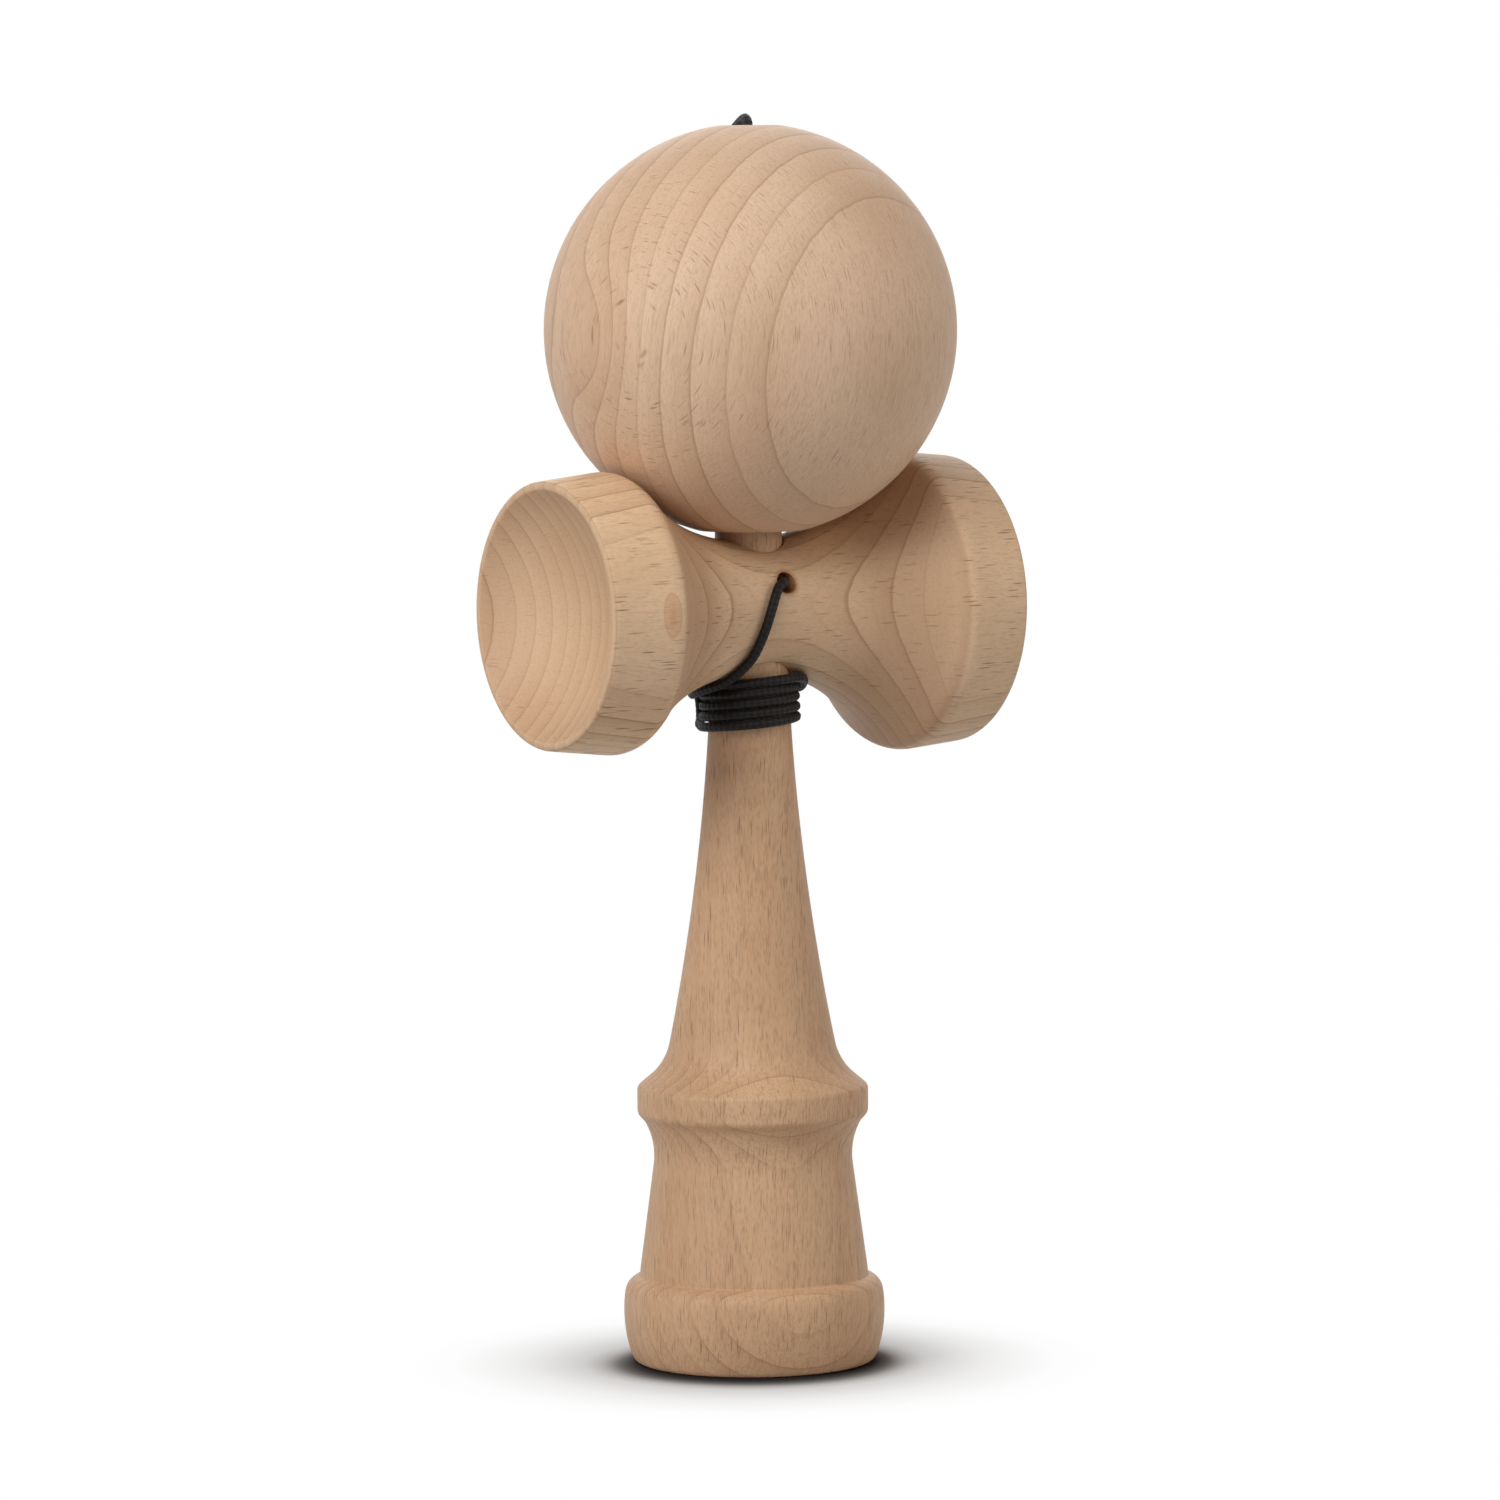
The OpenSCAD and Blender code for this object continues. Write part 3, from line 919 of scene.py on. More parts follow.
def hand_over(
    piece: bpy.types.Object, skin: bpy.types.Material, slot: Slot, body: Body | None, *nodes: str,
) -> None:
    """Gives a piece its finish, its body and the CAD nodes it stands for.

    Args:
        piece: The piece.
        skin: Its material.
        slot: The record's slot that the material belongs to. Not used.
        body: The body that it rides on, or None where the caller blends it.
        nodes: The CAD nodes that it replaces.
    """
    piece.data.materials.append(skin)
    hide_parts(*nodes)
    if body is not None:
        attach(piece, body.value)
    log.info("%s: %d faces, %s", piece.name, len(piece.data.polygons), ", ".join(nodes))


@dataclass
class Handle:
    """The turned handle: base with a cup below, ring, grip, neck and spike in one piece."""

    length: float = 0.155
    base_r: float = 0.0191
    cup_depth: float = 0.0056
    rim_inset: float = 0.0037
    foot_edge_r: float = 0.0014
    foot_inset: float = 0.0025
    foot_turn_deg: float = 2.5
    flank_r: float = 0.0203
    flank_z: float = 0.0076
    flank_deg: float = 17.5
    shoulder_r: float = 0.0026
    shoulder_deg: float = 8.0
    bend_deg: float = 2.0
    step_in: float = 0.0024
    step_up: float = 0.0007
    waist_r: float = 0.0145
    ring_r: float = 0.0169
    ring_z: float = 0.0386
    ring_half_h: float = 0.0015
    ring_low_r: float = 0.0012
    ring_high_r: float = 0.0009
    ring_edge_deg: float = 50.0
    flare_r: float = 0.0103
    flare_drop: float = 0.0082
    flare_degs: tuple[float, float] = (188.0, 150.0)
    grip_rise: float = 0.0084
    grip_foot_r: float = 0.0121
    grip_top_r: float = 0.0061
    grip_top_z: float = 0.0925
    grip_hollow: float = 0.475
    sweep_r: float = 0.0085
    sweep_deg: float = 11.0
    sweep_degs: tuple[float, float] = (230.0, 196.0)
    spike_r: float = 0.0036
    columns: int = 144

    def tip_z(self) -> float:
        """Height where the spike's rounded tip begins."""
        return self.length - self.spike_r

    def radius(self, z: np.ndarray) -> np.ndarray:
        """Radius of the grip and of the neck's straight taper over it.

        Args:
            z: Heights over the ring's slope.

        Returns:
            The radius at each height.
        """
        low = self.ring_z + self.grip_rise
        u = (self.grip_top_z - z) / (self.grip_top_z - low)
        grip = self.grip_top_r + (self.grip_foot_r - self.grip_top_r) * (
            self.grip_hollow * u + (1 - self.grip_hollow) * u * u
        )
        share = (z - self.grip_top_z) / (self.tip_z() - self.grip_top_z)
        neck = self.grip_top_r - (self.grip_top_r - self.spike_r) * share
        return np.where(z < self.grip_top_z, grip, neck)

    def outline(self) -> np.ndarray:
        """Arcs and slopes from the cup in the base round the foot and up to the tip, corners softened.

        Returns:
            Height and radius of each ring.
        """
        rim = self.base_r - self.rim_inset
        bowl = (rim**2 + self.cup_depth**2) / (2 * self.cup_depth)
        flank_x = self.base_r - self.flank_r
        lean = np.radians(self.shoulder_deg)
        inner = self.flank_r - self.shoulder_r
        shoulder = np.array([flank_x + inner * np.cos(lean), self.flank_z + inner * np.sin(lean)])
        flare = (self.waist_r + self.flare_r, self.ring_z - self.flare_drop)
        low, high = self.ring_low_r, self.ring_high_r
        grip_z = self.ring_z + self.grip_rise
        slope = np.radians(self.sweep_deg)
        sweep = [self.grip_foot_r + self.sweep_r * np.cos(slope), grip_z + self.sweep_r * np.sin(slope)]
        z = np.linspace(grip_z, self.tip_z(), 160)
        line = np.concatenate([
            arc((0, self.cup_depth - bowl), bowl, 90, np.degrees(np.arccos(rim / bowl))),
            arc(
                (self.base_r - self.foot_inset, self.foot_edge_r), self.foot_edge_r,
                -90, -self.flank_deg - self.foot_turn_deg,
            ),
            arc((flank_x, self.flank_z), self.flank_r, -self.flank_deg, self.shoulder_deg),
            arc(shoulder, self.shoulder_r, self.shoulder_deg + self.bend_deg, 90 - self.shoulder_deg),
            [[self.base_r - self.step_in, shoulder[1] + self.shoulder_r + self.step_up]],
            arc(flare, self.flare_r, *self.flare_degs),
            arc((self.ring_r - low, self.ring_z - self.ring_half_h), low, -self.ring_edge_deg, 0),
            arc((self.ring_r - high, self.ring_z + self.ring_half_h), high, 0, self.ring_edge_deg),
            arc(sweep, self.sweep_r, *self.sweep_degs),
            np.stack([self.radius(z), z], -1),
            arc((0, self.tip_z()), self.spike_r, 0, 90)[1:],
        ])
        return eased(line[:, ::-1], 0.22 * MM, 1.8 * MM)

    def build(self, cord: "Cord") -> None:
        """The handle, with the cord's hole across its neck and the knot's pocket behind.

        It is beech with its grain up the handle and the flat of the board at the front.

        Args:
            cord: The cord that is knotted in it.
        """
        hole = CrossHole(
            along=cord.hole_z, aside=cord.hole_x, facing=270, radius=cord.bore_r,
            floor=1.0 * MM, reach=2.4 * MM, columns=(245, 315), bevel=0.1 * MM,
        )
        pocket = CrossHole(
            along=cord.hole_z, aside=-cord.hole_x, facing=90, radius=cord.pocket_r,
            floor=cord.pocket_y, reach=3.6 * MM, columns=(42.5, 122.5), bevel=0.1 * MM,
        )
        piece = turned("handle", self.outline(), Turning((0, 0, 0)), self.columns, holes=(hole, pocket))
        BeechFinish(
            "handle_beech", middle=(0, 0, 0.04), grain_way=(0.114, 0.177, 1.0),
            pith_way=(0.241, 0.950, -0.196), pith_distance=34.0, first_ring=48.2, ring_spacing=-1.95,
            waver=0.4, first_strength=1.0, ray_length=4.2, ray_width=0.16, ray_share=0.8,
            pale=(226, 187, 149), warm=(211, 170, 133), dash=(126, 85, 57), ring_depth=0.8, dash_depth=0.8,
            fleck_depth=0.55, long_strength=0.3,
        ).dress(piece, Slot.HANDLE, Body.HANDLE, "ken")


@dataclass
class CupHalf:
    """One half of the cross piece's outline: hollow, round shoulder, leaning band, rim and bowl."""

    cup_r: float
    round_r: float
    lean_deg: float
    depth: float

    def outline(self, body: "CrossPiece", far: float) -> np.ndarray:
        """Distance from the waist and radius, out over the rim and down to the bowl's middle.

        Args:
            body: The cross piece that it is a half of.
            far: Distance of the rim from the waist.

        Returns:
            The half's points.
        """
        both = body.hollow_r + self.round_r
        deg = np.degrees(np.arccos(1 - (self.cup_r - body.waist_r) / both))
        lean = np.radians(self.lean_deg)
        middle = np.array([both * np.sin(np.radians(deg)), self.cup_r - self.round_r])
        edge = middle + self.round_r * np.array([np.sin(lean), np.cos(lean)])
        lip_x = far - body.lip_r
        lip = np.array([lip_x, edge[1] - (lip_x - edge[0]) * np.tan(lean) - body.lip_r])
        rim = lip[1] - body.lip_w
        bowl = (rim**2 + self.depth**2) / (2 * self.depth)
        return np.concatenate([
            arc((0, body.waist_r + body.hollow_r), body.hollow_r, -90, deg - 90, 60),
            arc(middle, self.round_r, 90 + deg, 90 - self.lean_deg),
            arc(lip, body.lip_r, 90 - self.lean_deg, 0),
            arc((far - self.depth + bowl, 0), bowl, 180 - np.degrees(np.arcsin(rim / bowl)), 180, 60),
        ])


@dataclass
class CrossPiece:
    """The cross piece: two cups on one turned body, wedged on the neck."""

    length: float = 0.0698
    axis_z: float = 0.1106
    waist_x: float = -0.00025
    waist_r: float = 0.0097
    hollow_r: float = 0.0303
    lip_r: float = 0.0006
    lip_w: float = 0.0005
    bore_low_r: float = 0.00574
    bore_mid_r: float = 0.00538
    bore_high_r: float = 0.00508
    columns: int = 180
    big: CupHalf = field(default_factory=lambda: CupHalf(0.0220, 0.0034, 5.4, 0.0098))
    small: CupHalf = field(default_factory=lambda: CupHalf(0.0204, 0.0032, 6.2, 0.0080))

    def outline(self) -> np.ndarray:
        """Both halves joined at the waist, from the big cup's bowl to the small one's, corners softened.

        Returns:
            Place along X and radius of each ring.
        """
        big = self.big.outline(self, self.length / 2 - self.waist_x)
        small = self.small.outline(self, self.length / 2 + self.waist_x) * [-1, 1]
        line = np.concatenate([big[::-1], small]) + [self.waist_x, 0]
        return eased(line, 0.2 * MM, 0.75 * MM)

    def build(self, cord: "Cord") -> None:
        """The cross piece, with the neck's tapered bore through it and the cord's hole in its front.

        It is beech with its grain along the cups, a small knot in the small cup's flank and a burnt hole.

        Args:
            cord: The cord that comes out of it.
        """
        turning = Turning((0, 0, self.axis_z), (1, 0, 0), (0, -1, 0), (0, 0, 1))
        bores = [
            CrossHole(
                along=0.0, aside=0.0, facing=facing, radius=radius, taper=self.bore_mid_r - radius,
                floor=0.0, reach=7.2 * MM, columns=columns, bevel=0.25 * MM, through=True,
            )
            for facing, radius, columns in (
                (90, self.bore_high_r, (48, 132)), (270, self.bore_low_r, (228, 312)),
            )
        ]
        hole = CrossHole(
            along=cord.hole_x, aside=cord.hole_z - self.axis_z, facing=0, radius=cord.hole_r,
            floor=5.5 * MM, reach=2.6 * MM, columns=(8, 42), bevel=0.12 * MM,
        )
        piece = turned("cross_piece", self.outline(), turning, self.columns, holes=(*bores, hole))
        BeechFinish(
            "cross_beech", middle=(0, 0, self.axis_z), grain_way=(1, 0, 0.012), pith_way=(0, 1, -0.047),
            pith_distance=100.0, first_ring=119.8, ring_spacing=-2.8, waver=0.7, first_strength=0.08,
            eye_place=(-0.0258, -0.0203, self.axis_z + 0.0008), eye_size=3.2, eye_lift=-0.4, eye_squeeze=2.2,
            eye_shade=0.55, eye_tint=(198, 132, 88), ray_length=4.2, ray_width=0.26, ray_share=0.45,
            pale=(240, 207, 171), warm=(230, 194, 156), dash=(132, 90, 60), ring_depth=0.85, dash_depth=0.85,
            fleck_depth=0.3, end_depth=0.5, end_rings=0.6,
            burnt_hole=(cord.hole_x, cord.hole_z, cord.hole_r),
        ).dress(piece, Slot.CROSS, Body.HANDLE, "sarado")


@dataclass
class Ball:
    """The ball, with the bevelled hole for the spike below and the cord's sunk hole on top."""

    radius: float = 0.030
    middle_y: float = -0.001
    middle_z: float = 0.150888
    hole_r: float = 0.0070
    mouth_bevel: float = 0.0006
    hole_top: float = 0.013992
    hole_end_r: float = 0.0056
    cord_hole_r: float = 0.0015
    sink_r: float = 0.0041
    sink_depth: float = 0.0014
    columns: int = 180

    def outline(self) -> np.ndarray:
        """The sphere's arc from the sunk hole to the mouth, the bevel, the hole's wall and the cord's hole.

        Returns:
            Height over the ball's middle and radius of each ring, as a loop.
        """
        mouth = self.hole_r + self.mouth_bevel
        mouth_z = -np.sqrt(self.radius**2 - mouth**2)
        sink_z = np.sqrt(self.radius**2 - self.sink_r**2)
        start, end = np.degrees(np.arctan2([sink_z, mouth_z], [self.sink_r, mouth]))
        line = np.concatenate([arc((0, 0), self.radius, start, end, 300), [
            [self.hole_r, mouth_z + self.mouth_bevel],
            [self.hole_end_r, self.hole_top],
            [self.cord_hole_r, self.hole_top],
            [self.cord_hole_r, sink_z - self.sink_depth],
        ]])
        return eased(line[:, ::-1], 0.16 * MM, 1.2 * MM, Ends.LOOP)

    def build(self) -> None:
        """The ball in pale beech: layers round a pith far past the front, and a small eye on the left."""
        turning = Turning((0, self.middle_y, self.middle_z))
        piece = turned("ball", self.outline(), turning, self.columns, Ends.LOOP)
        BeechFinish(
            "ball_beech", middle=turning.middle, grain_way=(0.053, -0.147, 0.975),
            pith_way=(0.333, -0.929, -0.158), pith_distance=500.0, first_ring=480.1, ring_spacing=4.75,
            waver=0.8, first_strength=1.0, eye_place=(-0.0297, -0.0046, self.middle_z - 0.0010),
            eye_size=7.5, eye_lift=9.0, eye_squeeze=0.75, eye_shade=0.2, ray_length=4.4, ray_width=0.17,
            ray_share=0.6, pale=(236, 203, 173), warm=(225, 189, 156), ring_depth=0.66, fleck_depth=0.32,
            end_rays=0.75,
        ).dress(piece, Slot.BALL, Body.BALL, "tama")


@dataclass
class HangingBead:
    """The bead that the ball hangs and turns on: a barrel, 1 - bulge + bulge * cos a of its radius wide."""

    axis_y: float = Ball.middle_y
    low_z: float = 0.15853
    height: float = 0.006
    radius: float = 0.0042
    bore_r: float = 0.0011
    bulge: float = 0.68
    bulge_deg: float = 55.0
    columns: int = 72

    def outline(self) -> np.ndarray:
        """The barrel's curve, a from end to end, and the bore's wall.

        Returns:
            Height over the bead's lower end and radius of each ring, as a loop.
        """
        a = np.radians(np.linspace(-self.bulge_deg, self.bulge_deg, 60))
        rise = self.height / 2 * (1 + np.sin(a) / np.sin(np.radians(self.bulge_deg)))
        barrel = np.stack([rise, self.radius * (1 - self.bulge + self.bulge * np.cos(a))], -1)
        line = np.concatenate([barrel, [[self.height, self.bore_r], [0, self.bore_r]]])
        return eased(line, 0.12 * MM, 0.5 * MM, Ends.LOOP, fine=0.03 * MM, bend=6.0)

    def build(self) -> None:
        """The bead, in plain beech with its grain along the bore."""
        turning = Turning((0, self.axis_y, self.low_z))
        piece = turned("hanging_bead", self.outline(), turning, self.columns, Ends.LOOP)
        BeechFinish(
            "bead_beech", middle=(0, 0, self.low_z), grain_way=(0.1, 0, 1), pith_way=(1, 0.3, 0),
            pith_distance=30.0, first_ring=26.0, ring_spacing=1.9, waver=0.8, ray_length=1.4, ray_width=0.4,
        ).dress(piece, Slot.BEAD, Body.BEAD, "tama_bead")


@dataclass
class Cord:
    """The braided cord, from the knot in the neck to the knot under the bead."""

    diameter: float = 0.0014
    hole_x: float = 0.0008
    hole_z: float = 0.1145
    hole_r: float = 0.0015
    bore_r: float = 0.0011
    pocket_y: float = 0.0016
    pocket_r: float = 0.00235
    knot_r: float = 0.00195
    knot_h: float = 0.00273
    wind_z: float = 0.1007
    turns: float = 4.75
    pitch: float = 0.0015
    wound_end: float = 0.00095
    start_deg: float = 61.0
    right_deg: float = -33.0
    tilt: float = 0.00035
    lay_gap: float = 0.00008
    belly_deg: float = 2.0
    ride_out: float = 0.0016
    ride_width: float = 70.0
    belly_dip: float = 0.0022
    dip_width: float = 30.0
    ball_y: float = Ball.middle_y
    ball_z: float = Ball.middle_z
    ball_r: float = Ball.radius
    ball_gap: float = 0.00035
    back_deg: float = 93.0
    top_deg: float = 66.0
    crown_deg: float = 80.0
    leave_x: float = -0.003
    leave_y: float = 0.0086
    leave_rise: float = 0.0012
    bead_z: float = HangingBead.low_z
    mouth_y: float = -0.0088
    blend_start: Triple = (-0.003, 0.009, 0.0955)
    blend_end: Triple = (-0.0015, 0.0275, 0.1385)
    sides: int = 24
    step: float = 0.00016
    ease: float = 0.00035
    knot_ease: float = 0.0002
    strands: int = 6
    pick: float = 0.0009
    braid_depth: float = 0.05
    fullness: float = 1.045
    front_points: tuple[Triple, ...] = (
        (0.0008, 0.0016, 0.1145),
        (0.0008, -0.0030, 0.1145),
        (0.0008, -0.0072, 0.1145),
        (0.0003, -0.0091, 0.1146),
        (-0.0006, -0.0098, 0.1145),
        (-0.0015, -0.0101, 0.1137),
        (-0.0027, -0.0106, 0.1114),
        (-0.0036, -0.01055, 0.1088),
        (-0.0043, -0.0098, 0.1062),
        (-0.0050, -0.0085, 0.1037),
        (-0.0062, -0.0065, 0.1015),
        (-0.0073, -0.0042, 0.1000),
        (-0.0082, -0.0014, 0.0991),
        (-0.00825, 0.0015, 0.0984),
        (-0.0070, 0.0045, 0.0980),
        (-0.0045, 0.0072, 0.0987),
        (-0.0008, 0.0085, 0.0999),
    )
    UV = "braid"
    TURN_STEPS = 96
    SPLINE_STEPS = 16

    def loops(self, handle: Handle) -> np.ndarray:
        """The turns round the neck: a tilted helix, its first turn riding out and dipping under the belly.

        Args:
            handle: The handle that it is wound on.

        Returns:
            The turns' points with a short straight end at each end.
        """
        share = np.linspace(0, self.turns, int(self.turns * self.TURN_STEPS) + 1)
        deg = self.start_deg - 360 * share
        ride = np.exp(-(((deg - self.belly_deg) / self.ride_width) ** 2))
        dip = np.exp(-(((deg - self.belly_deg) / self.dip_width) ** 2))
        lean = self.tilt * np.cos(np.radians(deg - self.right_deg))
        z = self.wind_z - self.pitch * share + lean - self.belly_dip * dip
        r = handle.radius(z) + self.diameter / 2 + self.lay_gap + self.ride_out * ride
        turn = np.radians(deg)
        line = np.stack([r * np.cos(turn), r * np.sin(turn), z], -1)
        before = line[0] - self.way(line, 0) * self.wound_end
        after = line[-1] + self.way(line, -1) * self.wound_end
        return np.concatenate([[before], line, [after]])

    @staticmethod
    def way(line: np.ndarray, end: int) -> np.ndarray:
        """Unit direction of a line at its first (0) or last (-1) point."""
        step = line[1] - line[0] if end == 0 else line[-1] - line[-2]
        return step / np.linalg.norm(step)

    def front_route(self, loops: np.ndarray) -> np.ndarray:
        """From the knot's pocket out of the cross piece, over its front, round behind and into the turns."""
        lead_in = loops[0] - 2 * MM * self.way(loops, 0)
        return np.concatenate([spline([*self.front_points, lead_in], self.SPLINE_STEPS), loops])

    def lie(self) -> float:
        """Distance of the cord's middle line from the ball's middle, where it lies on the ball."""
        return self.ball_r + self.ball_gap + self.diameter / 2

    def behind(self, deg: Values, out: Values, z: Values) -> np.ndarray:
        """Points round the ball's axis: their angle about it, how far out from it and how high."""
        turn, out, z = np.broadcast_arrays(np.radians(deg), out, z)
        return np.stack([out * np.cos(turn), self.ball_y + out * np.sin(turn), z], -1)

    def on_ball(self, deg: Values, lean: float) -> np.ndarray:
        """Points of the cord on the ball's back, swinging from the back towards the right as they climb.

        Args:
            deg: Their angles over the ball's middle.
            lean: The angle under the middle at which the cord meets the ball.

        Returns:
            The points.
        """
        swing = np.maximum(0, (deg + lean) / (self.crown_deg + lean))
        turn = np.radians(deg)
        round_deg = self.back_deg + (self.top_deg - self.back_deg) * swing
        return self.behind(round_deg, self.lie() * np.cos(turn), self.ball_z + self.lie() * np.sin(turn))

    def back_route(self, loops: np.ndarray) -> np.ndarray:
        """Off the turns, straight up behind to the ball, over its back, in at its top and down to the knot.

        Args:
            loops: The turns that it leaves.

        Returns:
            The route's points.
        """
        end, end_way = loops[-1], self.way(loops, -1)
        back, rise = self.leave_y - self.ball_y, self.ball_z - (end[2] + self.leave_rise)
        lean = np.degrees(np.arcsin(self.lie() / np.hypot(back, rise)) - np.arctan2(back, rise))
        touch = self.on_ball(-lean, lean)
        touch_way = self.way(self.on_ball(np.array([-1.0, 1.0]) - lean, lean), 0)
        off = np.array([self.leave_x, self.leave_y, end[2] + self.leave_rise])
        up = touch - off
        top = self.ball_z + self.ball_r
        behind = spline([
            end,
            end + end_way * 1.5 * MM,
            end + end_way * 3 * MM + [0, 0.0002, 0.0003],
            off,
            off + up * 0.08 + [0.0004, 0, 0],
            off + up * 0.3,
            off + up * 0.6,
            touch - touch_way * 4 * MM,
            touch,
        ], self.SPLINE_STEPS)
        over = self.on_ball(np.linspace(-lean, self.crown_deg, 120)[1:-1], lean)
        inside = spline([
            self.on_ball(self.crown_deg, lean),
            self.behind(self.top_deg, 0.0034, top + 0.0007),
            self.behind(self.top_deg, 0.0016, top + 0.0003),
            self.behind(self.top_deg, 0.0005, top - 0.0008),
            self.behind(self.top_deg, 0.0001, top - 0.0022),
            (0, self.ball_y, top - 0.0040),
            (0, self.ball_y, (top - 0.0040 + self.bead_z) / 2),
            (0, self.ball_y, self.bead_z),
        ], self.SPLINE_STEPS)
        return np.concatenate([behind, over, inside])

    def frames(self, path: np.ndarray) -> tuple[np.ndarray, np.ndarray]:
        """Two directions square to a path that don't twist along it.

        A fixed direction made square to the path gives a first pair. What that pair twists from
        each point to the next is summed up and turned back.

        Args:
            path: The path's points.

        Returns:
            The two unit directions at each point.
        """
        way = np.gradient(path, axis=0)
        way /= np.linalg.norm(way, axis=1)[:, None]
        fixed = np.array([0.7, 0.1, -0.7])
        side = fixed - way * (way @ fixed)[:, None]
        side /= np.linalg.norm(side, axis=1)[:, None]
        other = np.cross(way, side)
        twist = np.arctan2((other[:-1] * side[1:]).sum(1), (side[:-1] * side[1:]).sum(1))
        back = -np.concatenate([[0.0], np.cumsum(twist)])[:, None]
        return side * np.cos(back) + other * np.sin(back), other * np.cos(back) - side * np.sin(back)

    def tube(self, name: str, path: np.ndarray) -> bpy.types.Object:
        """A braided tube along a path.

        Its radius is 1 - d + d (cos(2 pi strands u) + cos(2 pi v / pick)) / 2 of the cord's, d its depth.

        Args:
            name: The piece's name.
            path: The ring centres.

        Returns:
            The piece, with a UV whose U is a share of the way round and V a length in millimetres.
        """
        run = run_length(path)
        turn = 2 * np.pi * np.arange(self.sides) / self.sides
        first, second = self.frames(path)
        wave = np.cos(self.strands * turn)[None] + np.cos(2 * np.pi * run / self.pick)[:, None]
        braid = 1 - self.braid_depth + self.braid_depth * wave / 2
        radius = (self.diameter / 2 * self.fullness * braid)[..., None]
        around = first[:, None] * np.cos(turn)[None, :, None] + second[:, None] * np.sin(turn)[None, :, None]
        shell = Shell()
        rows = shell.add(path[:, None] + radius * around)
        tips = shell.add(path[[0, -1]])
        shell.between(rows)
        shell.close(rows[0, ::-1], int(tips[0]))
        shell.close(rows[-1], int(tips[1]))
        mesh = shell.mesh(name)
        smooth(mesh)
        share = np.arange(self.sides) / self.sides
        after = share + 1 / self.sides
        u = np.broadcast_to(np.stack([share, after, after, share], -1), (len(path) - 1, self.sides, 4))
        v = np.broadcast_to(np.stack([run[:-1], run[:-1], run[1:], run[1:]], -1)[:, None] * PER_MM, u.shape)
        caps = np.zeros((2 * self.sides * 3, 2))
        flat = np.concatenate([np.stack([u, v], -1).reshape(-1, 2), caps])
        mesh.uv_layers.new(name=self.UV).data.foreach_set("uv", flat.astype(np.float32).ravel())
        return linked(name, mesh)

    def knot(self, name: str, middle: Sequence[float], way: Sequence[float]) -> bpy.types.Object:
        """A tight overhand knot: a tube along (sin t + 2 sin 2t, cos t - 2 cos 2t, -sin 3t), made to size.

        Args:
            name: The piece's name.
            middle: The knot's middle.
            way: The cord's direction through it.

        Returns:
            The piece.
        """
        t = np.linspace(0, 2 * np.pi, 401)
        thick = self.diameter / 2
        wide = (self.knot_r - thick) / 3
        tall = self.knot_h / 2 - thick
        curl = np.stack([
            wide * (np.sin(t) + 2 * np.sin(2 * t)),
            wide * (np.cos(t) - 2 * np.cos(2 * t)),
            -tall * np.sin(3 * t),
        ], -1)
        turn = np.array(Vector((0, 0, 1)).rotation_difference(Vector(way)).to_matrix())
        return self.tube(name, softened(curl @ turn.T + np.array(middle), self.step, self.knot_ease))

    def build(self, handle: Handle) -> None:
        """Args:
            handle: The handle that it is wound on.
        """
        skin = BraidFinish("black_braid", self.UV, self.strands, self.pick * PER_MM).material()
        loops = self.loops(handle)
        wound = softened(self.front_route(loops), self.step, self.ease)
        to_ball = softened(self.back_route(loops), self.step, self.ease)
        half = self.knot_h / 2
        bead_knot = self.knot("bead_knot", (0, self.ball_y, self.bead_z - half), (0, 0, 1))
        neck_knot = self.knot("neck_knot", (self.hole_x, self.pocket_y + half, self.hole_z), (0, 1, 0))
        hand_over(bead_knot, skin, Slot.CORD, Body.BEAD, "tama_knot")
        hand_over(neck_knot, skin, Slot.CORD, Body.HANDLE, "sarado_knot")

        lead = self.tube("cord_wound", wound)
        hand_over(lead, skin, Slot.CORD, Body.HANDLE, "cord_front_run", "cord_winding")
        tail = self.tube("cord_to_ball", to_ball)
        hand_over(tail, skin, Slot.CORD, None, "cord_back_run", "cord_tama_run")
        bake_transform(tail)
        log.info("cord: %.3f m wound, %.3f m to the ball", run_length(wound)[-1], run_length(to_ball)[-1])


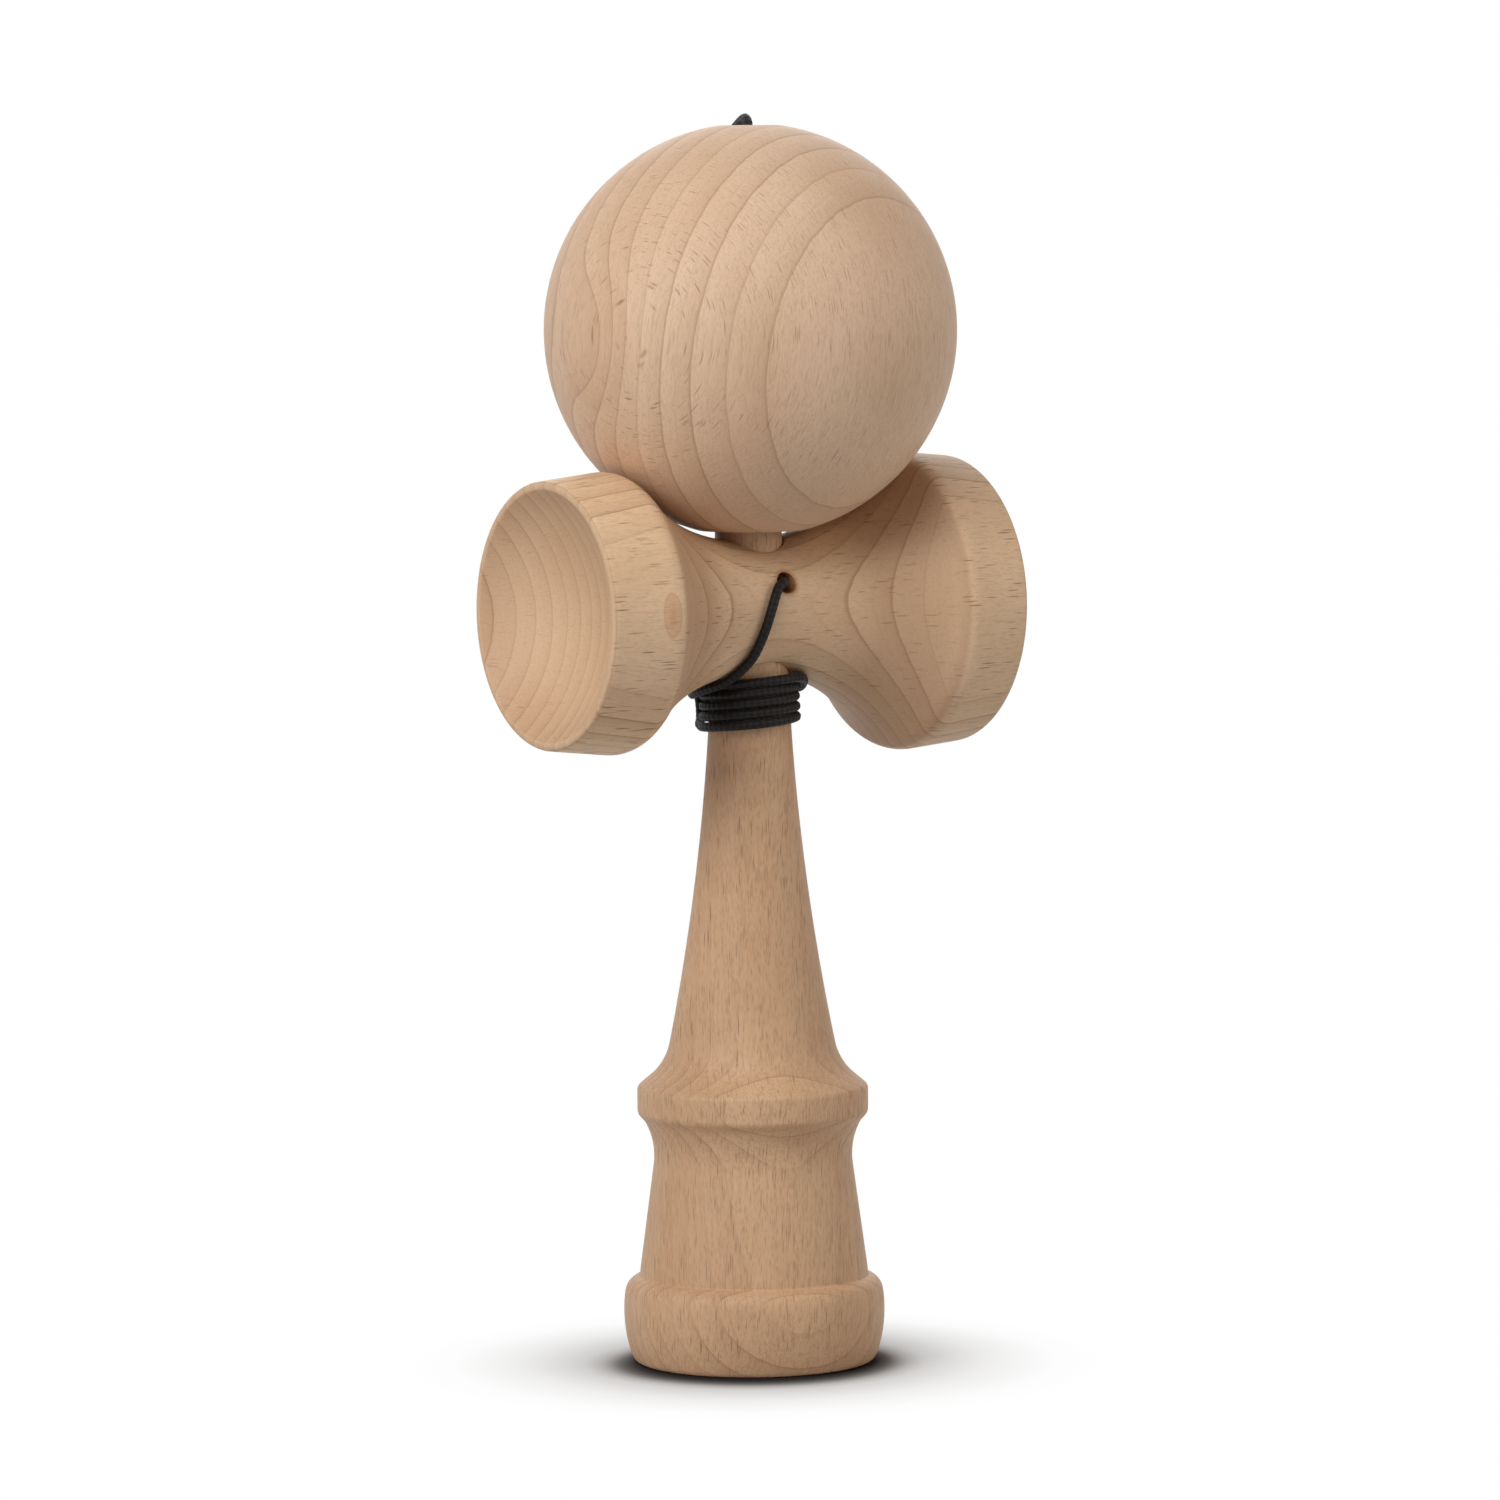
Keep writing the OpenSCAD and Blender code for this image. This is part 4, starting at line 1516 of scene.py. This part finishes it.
@dataclass
class Studio:
    """The camera at the photograph's angle, a pale floor and soft light."""

    distance: float = 1.1
    azimuth: float = -32.83
    height: float = 0.1766
    aim_z: float = 0.089731
    roll: float = -0.0079
    focal_px: float = 7564.0
    sensor_mm: float = 36.0
    clip: tuple[float, float] = (0.01, 20)
    ambient: float = 0.035
    lamp_aim: Triple = (0, 0, 0.1)
    floor_half: float = 3.0
    floor_drop: float = 0.00002
    floor_grey: float = 0.62
    painted_shade_from: float = 0.016
    painted_shade_to: float = 0.056
    # The painted shade's middle sits 3 mm off the axis towards the camera, at -X and -Y, so the painted
    # shade is darkest just in front of the foot.
    painted_shade_middle: Triple = (-0.0016, -0.0025, 0.0)
    # Painted contact shade: the floor's colour to the eye, from near black at the foot to almost white
    # further out.
    PAINTED_SHADE = (
        (0.0, 0.03), (0.04, 0.07), (0.075, 0.17), (0.115, 0.35), (0.16, 0.55), (0.225, 0.70), (0.45, 0.85),
        (0.725, 0.95),
    )
    CLEAR = ((0.10, 0.0), (0.22, 0.34), (0.45, 0.68), (0.70, 0.94), (0.9, 1.0))
    LAMPS = (
        ("side", (-0.75, -0.10, 0.45), 0.42, 3.05, WHITE[:3]),
        ("key", (-0.50, -0.45, 0.75), 0.42, 2.7, WHITE[:3]),
        ("over", (-0.10, -0.15, 0.95), 0.5, 1.0, WHITE[:3]),
        ("fill", (0.55, -0.65, 0.40), 0.5, 1.85, (1.0, 0.93, 0.84)),
        ("back", (0.55, 0.75, 0.50), 0.6, 1.6, WHITE[:3]),
    )

    def camera(self) -> None:
        """Makes the camera: right, up and back rows from its aim, turned by the roll."""
        a = np.radians(self.azimuth)
        spot = np.array([self.distance * np.sin(a), -self.distance * np.cos(a), self.height])
        ahead = np.array([0, 0, self.aim_z]) - spot
        ahead /= np.linalg.norm(ahead)
        right = np.cross(ahead, [0, 0, 1])
        right /= np.linalg.norm(right)
        up = np.cross(right, ahead)
        across = right * np.cos(self.roll) + up * np.sin(self.roll)
        over = up * np.cos(self.roll) - right * np.sin(self.roll)
        eye = bpy.data.cameras.new("camera")
        eye.sensor_width = self.sensor_mm
        eye.lens = self.sensor_mm * self.focal_px / IMAGE_PX
        eye.clip_start, eye.clip_end = self.clip
        holder = linked("camera", eye)
        place = np.eye(4)
        place[:3] = np.stack([across, over, -ahead, spot], -1)
        holder.matrix_world = Matrix(place.tolist())
        bpy.context.scene.camera = holder

    def seen(self, n: Nodes) -> Socket:
        """1 for what the camera sees itself, in a mirror or through glass, and 0 for light.

        Args:
            n: The nodes to add it to.

        Returns:
            The socket with that value.
        """
        ray = n.add("ShaderNodeLightPath").outputs
        mirror = n.math("MAXIMUM", ray["Is Glossy Ray"], ray["Is Transmission Ray"])
        return n.math("MAXIMUM", ray["Is Camera Ray"], mirror)

    def floor(self) -> None:
        """A wide floor: white to the eye but for a contact shade painted round the foot, where the real
        shadows also show, and an even grey to light.
        """
        h, z = self.floor_half, -self.floor_drop
        mesh = bpy.data.meshes.new("floor")
        mesh.from_pydata([(-h, -h, z), (h, -h, z), (h, h, z), (-h, h, z)], [], [(0, 1, 2, 3)])
        skin, n = new_skin("pale_floor")
        spot = n.add("ShaderNodeTexCoord").outputs["Object"]
        away = n.add("ShaderNodeMapRange", {
            "Value": n.vector("LENGTH", n.vector("SUBTRACT", spot, self.painted_shade_middle), out=1),
            "From Min": self.painted_shade_from,
            "From Max": self.painted_shade_to,
        }).outputs[0]
        seen = self.seen(n)
        # Painted shade: to the eye the floor's own colour darkens towards the foot, while light meets an
        # even grey.
        paint = n.mix(seen, (self.floor_grey,) * 3 + (1,), n.ramp(away, self.PAINTED_SHADE))
        cloth = n.add("ShaderNodeBsdfDiffuse", {"Color": paint})
        white = n.add("ShaderNodeEmission", {"Color": WHITE, "Strength": 1.0})
        blend = n.add("ShaderNodeMixShader", {
            0: n.times(n.ramp(away, self.CLEAR), seen), 1: cloth.outputs[0], 2: white.outputs[0],
        })
        n.add("ShaderNodeOutputMaterial", {"Surface": blend.outputs[0]})
        mesh.materials.append(skin)
        linked("floor", mesh)

    def world(self) -> None:
        """An even pale sky: plain light on the object, white to the eye."""
        sky = bpy.data.worlds.new("studio")
        bpy.context.scene.world = sky
        sky.use_nodes = True
        n = Nodes(sky.node_tree)
        level = n.between(self.seen(n), self.ambient, 1.0)
        light = n.add("ShaderNodeBackground", {"Color": WHITE, "Strength": level})
        n.add("ShaderNodeOutputWorld", {"Surface": light.outputs[0]})

    def lamp(self, name: str, spot: Triple, size: float, power: float, tint: Triple) -> None:
        """A square soft box aimed at the toy's middle.

        Args:
            name: The lamp's name.
            spot: Where it stands.
            size: Its side.
            power: Its power in watts.
            tint: Its colour.
        """
        box = bpy.data.lights.new(name, "AREA")
        box.size, box.energy, box.color = size, power, tint
        holder = linked(name, box)
        holder.location = spot
        holder.rotation_euler = (Vector(self.lamp_aim) - Vector(spot)).to_track_quat("-Z", "Y").to_euler()

    def build(self) -> None:
        """Sets the camera, floor, sky, lamps and the plain view transform."""
        self.camera()
        self.floor()
        self.world()
        for lamp in self.LAMPS:
            self.lamp(*lamp)
        bpy.context.scene.view_settings.view_transform = "Standard"


def main() -> None:
    """Builds the scene: camera and cord first, then the turned pieces and the bead."""
    logging.basicConfig(level=logging.INFO, format="%(name)s: %(message)s")
    Studio().build()
    handle, cord = Handle(), Cord()
    cord.build(handle)
    handle.build(cord)
    CrossPiece().build(cord)
    Ball().build()
    HangingBead().build()


if __name__ == "__main__":
    main()
